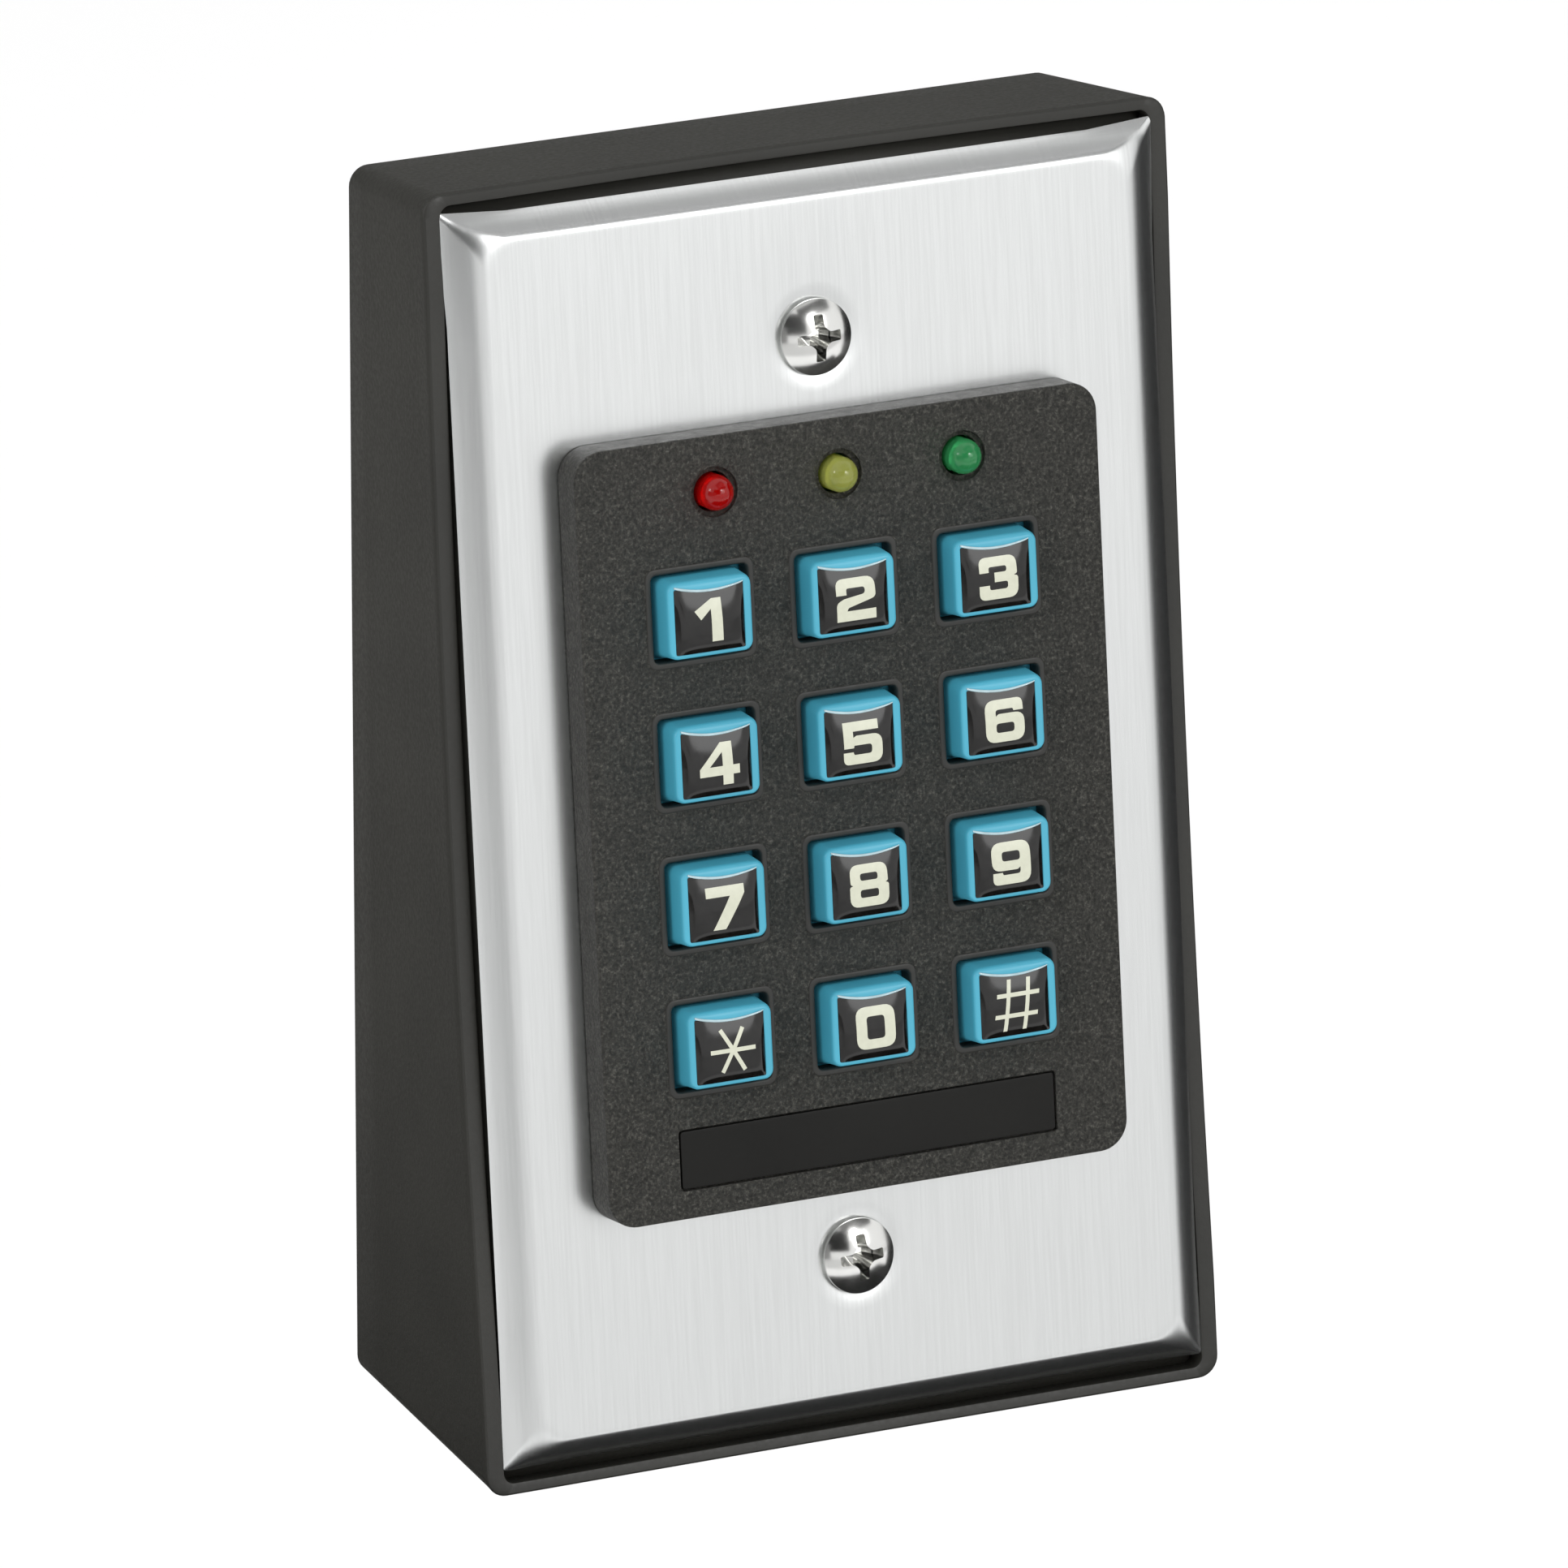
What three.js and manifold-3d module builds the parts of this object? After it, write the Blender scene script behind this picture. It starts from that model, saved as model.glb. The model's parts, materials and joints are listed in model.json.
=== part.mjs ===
// Keypad access reader: a moulded wedge-shaped surface box with a stamped steel cover plate, and on the
// plate a keypad of twelve keys and three indicator lamps with its circuit board behind it.
// Millimetres, +Z up. The origin is the middle of the flat back that lies on the wall, and the keypad
// faces -Y. The cover plate leans back at the top, so all that it carries is built in a leaning group
// with its own axes: u across to the right, v up the plate, w straight out of the plate's front face.
import * as THREE from 'three';
import { mergeVertices } from 'three/addons/utils/BufferGeometryUtils.js';
import Module from 'manifold-3d';

const wasm = await Module();
wasm.setup();

// Driving dimensions.
const LEAN = THREE.MathUtils.degToRad(5.9);
const PLATE_DISTANCE = 26.4;
const CLEARANCE = 0.3;

const BOX = {
  frontWidth: 73.0,
  frontHeight: 117.0,
  frontW: -1.75,
  backWidth: 69.7,
  backTop: 55.8,
  backBottom: -56.5,
  cornerRadius: 2.5,
  wall: 2.4,
  backWall: 2.5,
  rimWall: 1.0,
  ledgeW: -3.75,
  cavityRadius: 1.0,
  cavityDraft: 0.2,
  bossRadius: 4.0,
  bossReach: 40,
};
const PLATE = {
  width: 69.4,
  height: 112.6,
  thickness: 1.0,
  foldInset: 2.65,
  edgeW: -1.9,
  cornerRadius: 1.2,
  innerEdge: 1.2,
  innerFlat: 0.6,
  cutOverlap: 0.2,
};
const WINDOW = { halfWidth: 20.2, top: 33.2, bottom: -26.6, cornerRadius: 2.0 };
const PLATE_SCREW = {
  spacing: 83.34,
  headRadius: 3.45,
  rimHeight: 0.9,
  headTop: 1.3,
  shankRadius: 1.65,
  length: 12,
};
const PLATE_CROSS = { length: 4.2, width: 0.94, floorW: 0 };
const DIMPLE = { outerRadius: 5.2, innerRadius: 3.4, depth: 0.7 };
const WALL_HOLE = { x: 24, z: 40, radius: 2.25 };
const CABLE_HOLE = { z: -24, radius: 9 };
const BEZEL = {
  width: 51.4,
  height: 69.9,
  backW: 0.3,
  frontW: 3.5,
  frontInset: 0.25,
  cornerRadius: 2.7,
  frontWall: 1.6,
};
const KEYS = {
  names: ['1', '2', '3', '4', '5', '6', '7', '8', '9', 'star', '0', 'hash'],
  columns: 3,
  pitchU: 14.08,
  pitchV: 12.91,
  centreV: -0.3,
};
const KEYCAP = {
  baseWidth: 8.4,
  baseHeight: 7.6,
  faceWidth: 8.2,
  faceHeight: 7.2,
  cornerRadius: 0.85,
  faceW: 5.5,
  flangeWidth: 11.0,
  flangeHeight: 10.0,
  flangeRadius: 0.8,
  flangeBottomW: 0.7,
  flangeTopW: 1.6,
  stemRadius: 1.5,
  stemBottomW: -0.8,
};
const KEY_HOLE = { width: 9.5, height: 8.4, cornerRadius: 0.55 };
const LEGEND = {
  width: 6.4,
  height: 5.5,
  cornerRadius: 0.15,
  bevel: 0.3,
  backW: 5.0,
  frontW: 5.75,
  recessFloorW: 4.7,
};
const LAMPS = {
  names: ['red', 'yellow', 'green'],
  pitchU: 12.2,
  v: 29.9,
  radius: 1.75,
  gap: 0.25,
  ringRadius: 2.3,
  ringDepth: 0.5,
  backW: -0.5,
  domeW: 3.3,
  legOffset: 0.9,
  legWidth: 0.5,
};
const NAMEPLATE = {
  width: 37.4,
  height: 5.6,
  v: -29.6,
  recess: 0.5,
  recessRadius: 0.4,
  thickness: 0.25,
  gap: 0.2,
};
const DOME_MAT = {
  halfWidth: 19.6,
  bottomV: -26.2,
  topV: 25.4,
  backW: -3.3,
  frontW: -2.6,
  domeBaseRadius: 3.4,
  domeTopRadius: 2.0,
  domeTopW: -1.95,
};
const BOARD = { width: 50, height: 69, cornerRadius: 1.5, frontW: -3.6, backW: -5.2 };
const SPACER_RADIUS = 2.8;
const BEZEL_SCREW = {
  u: 22.4,
  v: 31.6,
  shankRadius: 1.2,
  holeRadius: 1.55,
  headRadius: 2.2,
  headHeight: 1.5,
  pointLength: 0.8,
  tipW: 2.3,
};
const BEZEL_CROSS = { length: 2.4, width: 0.6, depth: 0.8 };

// Parts on the back of the board: middle, size across and up, corner radius and height off the board.
const ON_BOARD = {
  relay: { finish: 'relay', u: -12.5, v: -9, width: 15.5, height: 19, radius: 0.5, depth: 13 },
  controller_chip: { finish: 'chip', u: 5, v: 26, width: 18, height: 7.5, radius: 0.3, depth: 2.6 },
  regulator: { finish: 'chip', u: 12, v: 4, width: 10, height: 4.6, radius: 0.3, depth: 9 },
};
const TERMINAL = {
  u: 0,
  v: -27,
  ways: 8,
  pitch: 3.5,
  endWall: 0.5,
  height: 8,
  radius: 0.3,
  depth: 9,
  mouthWidth: 2.4,
  mouthV: -4,
  mouthHeight: 5,
  mouthNear: 3.5,
  mouthFar: 7,
  screwRadius: 1.1,
  screwV: 1,
  screwDepth: 1.5,
};
const BUZZER = { u: -11, v: 12, radius: 6, depth: 7, holeRadius: 1.2, holeDepth: 4 };
const CAPACITOR = { u: 8, v: -10, radius: 3.15, topRadius: 2.9, topEdge: 0.4, depth: 11 };

// How far a cutting body reaches past what it cuts.
const PAST = 5;

// Colour, roughness and metalness of each material.
const FINISHES = {
  box: [0x3e3d3a, 0.5, 0],
  steel: [0xd6d8d7, 0.35, 1],
  nickel: [0xd8d6d0, 0.15, 1],
  bezel: [0x3f3f3b, 0.6, 0],
  keycap: [0x4f9fb6, 0.35, 0],
  legend: [0x1d1d1c, 0.1, 0],
  label: [0x1b1b1b, 0.4, 0],
  red: [0xd42a12, 0.2, 0],
  yellow: [0xb8b63c, 0.2, 0],
  green: [0x2f9a55, 0.2, 0],
  rubber: [0xb9b7ac, 0.8, 0],
  board: [0x1f6a3c, 0.5, 0],
  zinc: [0xb9bbbd, 0.35, 1],
  spacer: [0xdedbd0, 0.6, 0],
  relay: [0x1d3f80, 0.4, 0],
  terminal: [0x2f7d4f, 0.5, 0],
  chip: [0x161616, 0.6, 0],
};

// Shapes and solids.
function roundedRectangle(width, height, radius) {
  const shape = new THREE.Shape();
  const x = width / 2;
  const y = height / 2;
  shape.absarc(x - radius, y - radius, radius, 0, Math.PI / 2);
  shape.absarc(-x + radius, y - radius, radius, Math.PI / 2, Math.PI);
  shape.absarc(-x + radius, -y + radius, radius, Math.PI, 1.5 * Math.PI);
  shape.absarc(x - radius, -y + radius, radius, 1.5 * Math.PI, 2 * Math.PI);
  shape.closePath();
  return shape;
}

function extrude(shape, backW, frontW, curveSegments) {
  const depth = frontW - backW;
  const geometry = new THREE.ExtrudeGeometry(shape, { depth, bevelEnabled: false, curveSegments });
  return geometry.translate(0, 0, backW);
}

// A closed geometry becomes a solid for joining and cutting.
function solid(geometry) {
  const bare = new THREE.BufferGeometry();
  bare.setAttribute('position', geometry.getAttribute('position'));
  if (geometry.index) bare.setIndex(geometry.index);
  const merged = mergeVertices(bare, 1e-4);
  const vertProperties = new Float32Array(merged.getAttribute('position').array);
  const triVerts = new Uint32Array(merged.index.array);
  return new wasm.Manifold(new wasm.Mesh({ numProp: 3, vertProperties, triVerts }));
}

function geometryOf(body) {
  const mesh = body.getMesh();
  const geometry = new THREE.BufferGeometry();
  geometry.setAttribute('position', new THREE.BufferAttribute(mesh.vertProperties, 3));
  geometry.setIndex(new THREE.BufferAttribute(mesh.triVerts, 1));
  const flat = geometry.toNonIndexed();
  flat.computeVertexNormals();
  return flat;
}

// A rounded block whose front may be smaller than its back.
function block(width, height, radius, backW, frontW, frontWidth = width, frontHeight = height) {
  const geometry = extrude(roundedRectangle(width, height, radius), backW, frontW, radius < 1 ? 2 : 4);
  const position = geometry.getAttribute('position');
  const middle = (backW + frontW) / 2;
  for (let i = 0; i < position.count; i += 1) {
    if (position.getZ(i) > middle) {
      position.setX(i, position.getX(i) * frontWidth / width);
      position.setY(i, position.getY(i) * frontHeight / height);
    }
  }
  return solid(geometry);
}

function box(u, v, width, height, backW, frontW) {
  const geometry = new THREE.BoxGeometry(width, height, frontW - backW);
  return solid(geometry.translate(u, v, (backW + frontW) / 2));
}

// A turned body about the w axis: profile points are [radius, w], from the axis round to the axis.
function turned(profile, segments = 16) {
  const points = profile.map(([radius, w]) => new THREE.Vector2(radius, w));
  const geometry = new THREE.LatheGeometry(points, segments);
  return solid(geometry.rotateX(Math.PI / 2));
}

function rod(radius, backW, frontW, segments = 16) {
  return turned([[0, backW], [radius, backW], [radius, frontW], [0, frontW]], segments);
}

function at(body, u, v) {
  return body.translate([u, v, 0]);
}

// The leaning frame of the cover plate.
const lean = new THREE.Matrix4().makeRotationX(Math.PI / 2 - LEAN);
lean.setPosition(0, -PLATE_DISTANCE, 0);

function leanInto(body) {
  return solid(geometryOf(body).applyMatrix4(lean));
}

// The box narrows from its leaning front outline to its upright back outline.
function lofted(frontWidth, frontHeight, radius, frontW, backWidth, backTop, backBottom, backY) {
  const geometry = extrude(roundedRectangle(frontWidth, frontHeight, radius), 0, 1, 6);
  const position = geometry.getAttribute('position');
  const point = new THREE.Vector3();
  const backHeight = backTop - backBottom;
  const backMiddle = (backTop + backBottom) / 2;
  for (let i = 0; i < position.count; i += 1) {
    point.fromBufferAttribute(position, i);
    if (point.z > 0.5) {
      point.z = frontW;
      point.applyMatrix4(lean);
    } else {
      const x = point.x * backWidth / frontWidth;
      const z = backMiddle + point.y * backHeight / frontHeight;
      point.set(x, backY, z);
    }
    position.setXYZ(i, point.x, point.y, point.z);
  }
  return solid(geometry);
}

function surfaceBox() {
  const b = BOX;
  const outer = lofted(
    b.frontWidth, b.frontHeight, b.cornerRadius, b.frontW, b.backWidth, b.backTop, b.backBottom, 0);
  const inset = 2 * b.wall;
  const draft = b.cavityDraft;
  const cavity = lofted(
    b.frontWidth - inset, b.frontHeight - inset, b.cavityRadius, b.frontW + PAST,
    b.backWidth - inset + 2 * draft, b.backTop - b.wall + draft, b.backBottom + b.wall - draft, -b.backWall);
  const rim = 2 * b.rimWall;
  const rebateRadius = b.cornerRadius - b.rimWall;
  const rebate = block(b.frontWidth - rim, b.frontHeight - rim, rebateRadius, b.ledgeW, PAST);
  let body = outer.subtract(cavity).subtract(leanInto(rebate));
  const bossTop = -DIMPLE.depth - PLATE.thickness - CLEARANCE;
  for (const side of [1, -1]) {
    const v = side * PLATE_SCREW.spacing / 2;
    const boss = leanInto(at(rod(b.bossRadius, -b.bossReach, bossTop), 0, v)).intersect(outer);
    const pilot = rod(PLATE_SCREW.shankRadius + CLEARANCE, -PLATE_SCREW.length - 2, PAST);
    body = body.add(boss).subtract(leanInto(at(pilot, 0, v)));
  }
  for (const x of [-WALL_HOLE.x, WALL_HOLE.x]) {
    for (const z of [-WALL_HOLE.z, WALL_HOLE.z]) {
      body = body.subtract(throughBack(x, z, WALL_HOLE.radius));
    }
  }
  return body.subtract(throughBack(0, CABLE_HOLE.z, CABLE_HOLE.radius));
}

function throughBack(x, z, radius) {
  const geometry = new THREE.CylinderGeometry(radius, radius, 2 * PAST, 24);
  return solid(geometry.translate(x, 0, z));
}

function coverPlate() {
  const p = PLATE;
  const flatWidth = p.width - 2 * p.foldInset;
  const flatHeight = p.height - 2 * p.foldInset;
  const outer = block(p.width, p.height, p.cornerRadius, p.edgeW, 0, flatWidth, flatHeight);
  const edgeCut = 2 * p.thickness * p.innerEdge;
  const flatCut = 2 * p.thickness * p.innerFlat;
  const inner = block(
    p.width - edgeCut, p.height - edgeCut, p.cornerRadius / 2, p.edgeW - p.cutOverlap, -p.thickness,
    flatWidth - flatCut, flatHeight - flatCut);
  const windowHeight = WINDOW.top - WINDOW.bottom;
  const windowCut = block(2 * WINDOW.halfWidth, windowHeight, WINDOW.cornerRadius, -PAST, PAST);
  let body = outer.subtract(inner).subtract(at(windowCut, 0, (WINDOW.top + WINDOW.bottom) / 2));
  const d = DIMPLE;
  const floor = -d.depth;
  const under = p.thickness;
  const pressed = [[0, floor - under], [d.innerRadius, floor - under], [d.outerRadius, -under], [0, -under]];
  const dish = [[0, floor], [d.innerRadius, floor], [d.outerRadius, 0], [d.outerRadius, 1], [0, 1]];
  for (const side of [1, -1]) {
    const v = side * PLATE_SCREW.spacing / 2;
    body = body.add(at(turned(pressed, 20), 0, v)).subtract(at(turned(dish, 20), 0, v));
    body = body.subtract(at(rod(PLATE_SCREW.shankRadius + CLEARANCE, -PAST, PAST), 0, v));
  }
  for (const [u, v] of cornerPlaces()) {
    body = body.subtract(at(rod(BEZEL_SCREW.holeRadius, -PAST, PAST), u, v));
  }
  return body;
}

function cornerPlaces() {
  const { u, v } = BEZEL_SCREW;
  return [[-u, v], [u, v], [-u, -v], [u, -v]];
}

function crossRecess(length, width, backW, frontW) {
  return box(0, 0, length, width, backW, frontW).add(box(0, 0, width, length, backW, frontW));
}

function plateScrew() {
  const s = PLATE_SCREW;
  const seat = -DIMPLE.depth + CLEARANCE;
  const profile = [
    [0, -s.length], [s.shankRadius, -s.length + 1], [s.shankRadius, seat], [s.headRadius * 0.8, seat],
    [s.headRadius, seat + s.rimHeight], [s.headRadius * 0.8, s.headTop * 0.75],
    [s.headRadius * 0.4, s.headTop * 0.95], [0, s.headTop],
  ];
  const cross = crossRecess(PLATE_CROSS.length, PLATE_CROSS.width, PLATE_CROSS.floorW, PAST);
  return turned(profile, 20).subtract(cross);
}

function keypadBezel() {
  const b = BEZEL;
  const frontWidth = b.width - 2 * b.frontInset;
  const frontHeight = b.height - 2 * b.frontInset;
  const outer = block(b.width, b.height, b.cornerRadius, b.backW, b.frontW, frontWidth, frontHeight);
  const pocketHeight = WINDOW.top - WINDOW.bottom;
  const pocketFloor = b.frontW - b.frontWall;
  const pocket = block(2 * WINDOW.halfWidth, pocketHeight, WINDOW.cornerRadius, -PAST, pocketFloor);
  let body = outer.subtract(at(pocket, 0, (WINDOW.top + WINDOW.bottom) / 2));
  const hole = block(KEY_HOLE.width, KEY_HOLE.height, KEY_HOLE.cornerRadius, 0, PAST);
  for (const { u, v } of keyPlaces()) {
    body = body.subtract(at(hole, u, v));
  }
  for (const { u, v } of lampPlaces()) {
    body = body.subtract(at(rod(LAMPS.radius + LAMPS.gap, 0, PAST), u, v));
    body = body.subtract(at(rod(LAMPS.ringRadius, b.frontW - LAMPS.ringDepth, PAST), u, v));
  }
  for (const [u, v] of cornerPlaces()) {
    body = body.subtract(at(rod(BEZEL_SCREW.holeRadius, -PAST, BEZEL_SCREW.tipW + CLEARANCE), u, v));
  }
  const { width, height, recessRadius, recess } = NAMEPLATE;
  const labelRecess = block(width, height, recessRadius, b.frontW - recess, PAST);
  return body.subtract(at(labelRecess, 0, NAMEPLATE.v));
}

function keyPlaces() {
  const rows = KEYS.names.length / KEYS.columns;
  return KEYS.names.map((name, index) => {
    const column = index % KEYS.columns;
    const row = Math.floor(index / KEYS.columns);
    return {
      name,
      u: (column - (KEYS.columns - 1) / 2) * KEYS.pitchU,
      v: KEYS.centreV + ((rows - 1) / 2 - row) * KEYS.pitchV,
    };
  });
}

function lampPlaces() {
  return LAMPS.names.map((name, index) => ({ name, u: (index - 1) * LAMPS.pitchU, v: LAMPS.v }));
}

function keycap() {
  const k = KEYCAP;
  const cap = block(
    k.baseWidth, k.baseHeight, k.cornerRadius, k.flangeBottomW, k.faceW, k.faceWidth, k.faceHeight);
  const flange = block(k.flangeWidth, k.flangeHeight, k.flangeRadius, k.flangeBottomW, k.flangeTopW);
  const stem = rod(k.stemRadius, k.stemBottomW, k.flangeTopW, 10);
  const recessWidth = LEGEND.width + CLEARANCE;
  const recessHeight = LEGEND.height + CLEARANCE;
  const recessTopW = k.faceW + PAST;
  const recess = block(recessWidth, recessHeight, LEGEND.cornerRadius, LEGEND.recessFloorW, recessTopW);
  return cap.add(flange).add(stem).subtract(recess);
}

// The glossy tile that carries a key's legend, with sloping edges.
function legendTile() {
  const { width, height, cornerRadius, bevel, backW, frontW } = LEGEND;
  return block(width, height, cornerRadius, backW, frontW, width - 2 * bevel, height - 2 * bevel);
}

function nameplate() {
  const { width, height, recess, recessRadius, thickness, gap } = NAMEPLATE;
  const backW = BEZEL.frontW - recess + gap;
  return block(width - 2 * gap, height - 2 * gap, recessRadius - gap / 2, backW, backW + thickness);
}

function lamp() {
  const { radius: r, backW, domeW, legOffset, legWidth } = LAMPS;
  const profile = [[0, backW], [r, backW], [r, domeW]];
  for (let step = 1; step < 6; step += 1) {
    const angle = step * Math.PI / 12;
    profile.push([r * Math.cos(angle), domeW + r * Math.sin(angle)]);
  }
  profile.push([0, domeW + r]);
  let body = turned(profile, 14);
  for (const side of [-1, 1]) {
    const leg = box(side * legOffset, 0, legWidth, legWidth, BOARD.frontW + CLEARANCE, 0);
    body = body.add(leg);
  }
  return body;
}

function domeMat() {
  const m = DOME_MAT;
  const height = m.topV - m.bottomV;
  let body = at(block(2 * m.halfWidth, height, 1, m.backW, m.frontW), 0, (m.topV + m.bottomV) / 2);
  const domeBackW = (m.backW + m.frontW) / 2;
  const profile = [
    [0, domeBackW], [m.domeBaseRadius, domeBackW], [m.domeBaseRadius, m.frontW],
    [m.domeTopRadius, m.domeTopW], [0, m.domeTopW],
  ];
  const dome = turned(profile, 12);
  for (const { u, v } of keyPlaces()) {
    body = body.add(at(dome, u, v));
  }
  return body;
}

function circuitBoard() {
  let body = block(BOARD.width, BOARD.height, BOARD.cornerRadius, BOARD.backW, BOARD.frontW);
  for (const [u, v] of cornerPlaces()) {
    body = body.subtract(at(rod(BEZEL_SCREW.holeRadius, BOARD.backW - PAST, 0), u, v));
  }
  return body;
}

function bezelScrew() {
  const { shankRadius, headRadius, headHeight, pointLength, tipW } = BEZEL_SCREW;
  const seat = BOARD.backW - CLEARANCE;
  const top = seat - headHeight;
  const profile = [
    [0, top], [headRadius * 0.7, top], [headRadius, seat - headHeight / 2], [headRadius, seat],
    [shankRadius, seat], [shankRadius, tipW - pointLength], [0, tipW],
  ];
  const { length, width, depth } = BEZEL_CROSS;
  return turned(profile, 12).subtract(crossRecess(length, width, top - PAST, top + depth));
}

function spacer() {
  const backW = BOARD.frontW + CLEARANCE;
  const frontW = -PLATE.thickness - CLEARANCE;
  const hole = rod(BEZEL_SCREW.holeRadius, backW - PAST, frontW + PAST);
  return rod(SPACER_RADIUS, backW, frontW).subtract(hole);
}

// Parts on the back of the board reach from the board towards the wall by their height.
function onBoard(width, height, radius, depth) {
  const frontW = BOARD.backW - CLEARANCE;
  return block(width, height, radius, frontW - depth, frontW);
}

function terminalBlock() {
  const t = TERMINAL;
  let body = onBoard(t.ways * t.pitch + 2 * t.endWall, t.height, t.radius, t.depth);
  const backW = BOARD.backW - CLEARANCE - t.depth;
  for (let way = 0; way < t.ways; way += 1) {
    const u = (way - (t.ways - 1) / 2) * t.pitch;
    const mouth = box(u, t.mouthV, t.mouthWidth, t.mouthHeight, backW + t.mouthNear, backW + t.mouthFar);
    const screw = rod(t.screwRadius, backW - PAST, backW + t.screwDepth, 12);
    body = body.subtract(mouth).subtract(at(screw, u, t.screwV));
  }
  return body;
}

function buzzer() {
  const { radius, depth, holeRadius, holeDepth } = BUZZER;
  const frontW = BOARD.backW - CLEARANCE;
  const backW = frontW - depth;
  return rod(radius, backW, frontW, 20).subtract(rod(holeRadius, backW - PAST, backW + holeDepth, 12));
}

function capacitor() {
  const { radius, topRadius, topEdge, depth } = CAPACITOR;
  const frontW = BOARD.backW - CLEARANCE;
  const topW = frontW - depth;
  return turned([[0, topW], [topRadius, topW], [radius, topW + topEdge], [radius, frontW], [0, frontW]]);
}

// Assembly.
const reader = new THREE.Group();
const front = new THREE.Group();
front.position.set(0, -PLATE_DISTANCE, 0);
front.rotation.x = Math.PI / 2 - LEAN;
reader.add(front);

function addPart(group, name, body, finish, u = 0, v = 0) {
  const [color, roughness, metalness] = FINISHES[finish];
  const material = new THREE.MeshStandardMaterial({ color, roughness, metalness });
  const mesh = new THREE.Mesh(geometryOf(body), material);
  mesh.name = name;
  mesh.position.set(u, v, 0);
  group.add(mesh);
}

addPart(reader, 'surface_box', surfaceBox(), 'box');
addPart(front, 'cover_plate', coverPlate(), 'steel');
addPart(front, 'plate_screw_top', plateScrew(), 'nickel', 0, PLATE_SCREW.spacing / 2);
addPart(front, 'plate_screw_bottom', plateScrew(), 'nickel', 0, -PLATE_SCREW.spacing / 2);
addPart(front, 'keypad_bezel', keypadBezel(), 'bezel');
addPart(front, 'nameplate', nameplate(), 'label', 0, NAMEPLATE.v);
for (const { name, u, v } of keyPlaces()) {
  addPart(front, `keycap_${name}`, keycap(), 'keycap', u, v);
  addPart(front, `legend_${name}`, legendTile(), 'legend', u, v);
}
for (const { name, u, v } of lampPlaces()) {
  addPart(front, `lamp_${name}`, lamp(), name, u, v);
}
addPart(front, 'dome_mat', domeMat(), 'rubber');
addPart(front, 'circuit_board', circuitBoard(), 'board');
cornerPlaces().forEach(([u, v], index) => {
  addPart(front, `bezel_screw_${index + 1}`, bezelScrew(), 'zinc', u, v);
  addPart(front, `board_spacer_${index + 1}`, spacer(), 'spacer', u, v);
});
for (const [name, part] of Object.entries(ON_BOARD)) {
  const body = onBoard(part.width, part.height, part.radius, part.depth);
  addPart(front, name, body, part.finish, part.u, part.v);
}
addPart(front, 'terminal_block', terminalBlock(), 'terminal', TERMINAL.u, TERMINAL.v);
addPart(front, 'buzzer', buzzer(), 'chip', BUZZER.u, BUZZER.v);
addPart(front, 'capacitor', capacitor(), 'relay', CAPACITOR.u, CAPACITOR.v);

export default reader;
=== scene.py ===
"""Looks of the keypad access reader: the moulded box, the brushed plate, the pebbled keypad housing,
the blue keys with their glossy tiles and legends, the lamps and the screws, all placed from the frame.

Shapes are drawn in millimetres in the cover plate's own axes: u across to the right, v up the plate and
w straight out of its front face, from the middle of the plate's flat front."""

import json
import math

import bmesh
import bpy
from mathutils import Matrix, Vector


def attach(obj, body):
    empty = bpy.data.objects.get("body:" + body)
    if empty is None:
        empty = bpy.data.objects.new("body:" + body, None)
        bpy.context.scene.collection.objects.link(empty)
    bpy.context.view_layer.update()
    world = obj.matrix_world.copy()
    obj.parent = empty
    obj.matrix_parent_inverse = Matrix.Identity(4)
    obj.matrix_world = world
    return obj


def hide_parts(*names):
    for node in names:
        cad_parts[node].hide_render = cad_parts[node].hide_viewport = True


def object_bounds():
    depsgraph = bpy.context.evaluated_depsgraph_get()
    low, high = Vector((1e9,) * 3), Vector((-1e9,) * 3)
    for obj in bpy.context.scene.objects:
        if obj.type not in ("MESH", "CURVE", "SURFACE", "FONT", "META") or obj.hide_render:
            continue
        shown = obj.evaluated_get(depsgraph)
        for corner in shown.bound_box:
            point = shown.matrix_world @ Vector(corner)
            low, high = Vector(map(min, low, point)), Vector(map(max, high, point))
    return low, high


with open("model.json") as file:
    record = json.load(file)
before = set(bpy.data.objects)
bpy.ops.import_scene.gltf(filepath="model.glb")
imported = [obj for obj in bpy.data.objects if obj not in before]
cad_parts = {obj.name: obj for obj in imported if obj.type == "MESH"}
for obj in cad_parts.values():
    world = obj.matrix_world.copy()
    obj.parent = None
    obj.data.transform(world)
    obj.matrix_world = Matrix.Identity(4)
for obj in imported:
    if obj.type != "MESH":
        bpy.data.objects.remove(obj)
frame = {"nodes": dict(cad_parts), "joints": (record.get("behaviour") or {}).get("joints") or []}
cad_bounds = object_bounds()

MM = 0.001
HOUSING = "housing"
KEYS = ["1", "2", "3", "4", "5", "6", "7", "8", "9", "star", "0", "hash"]
LAMPS = ["red", "yellow", "green"]
PLATE_SCREWS = ["plate_screw_top", "plate_screw_bottom"]

# ---------------------------------------------------------------- the leaning axes of the cover plate

press = Vector(frame["joints"][0]["axis"]).normalized()
RIGHT = Vector((1, 0, 0))
OUT = -press
UP = OUT.cross(RIGHT)


def span_along(node, axis):
    """Lowest and highest place of a node's own vertices along an axis."""
    places = [axis.dot(v.co) for v in frame["nodes"][node].data.vertices]
    return min(places), max(places)


plate_u, plate_v, plate_w = (span_along("cover_plate", axis) for axis in (RIGHT, UP, OUT))
origin = RIGHT * sum(plate_u) / 2 + UP * sum(plate_v) / 2 + OUT * plate_w[1]
axes = Matrix((RIGHT, UP, OUT)).transposed().to_4x4()
LEAN = Matrix.Translation(origin) @ axes @ Matrix.Scale(MM, 4)


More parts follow.
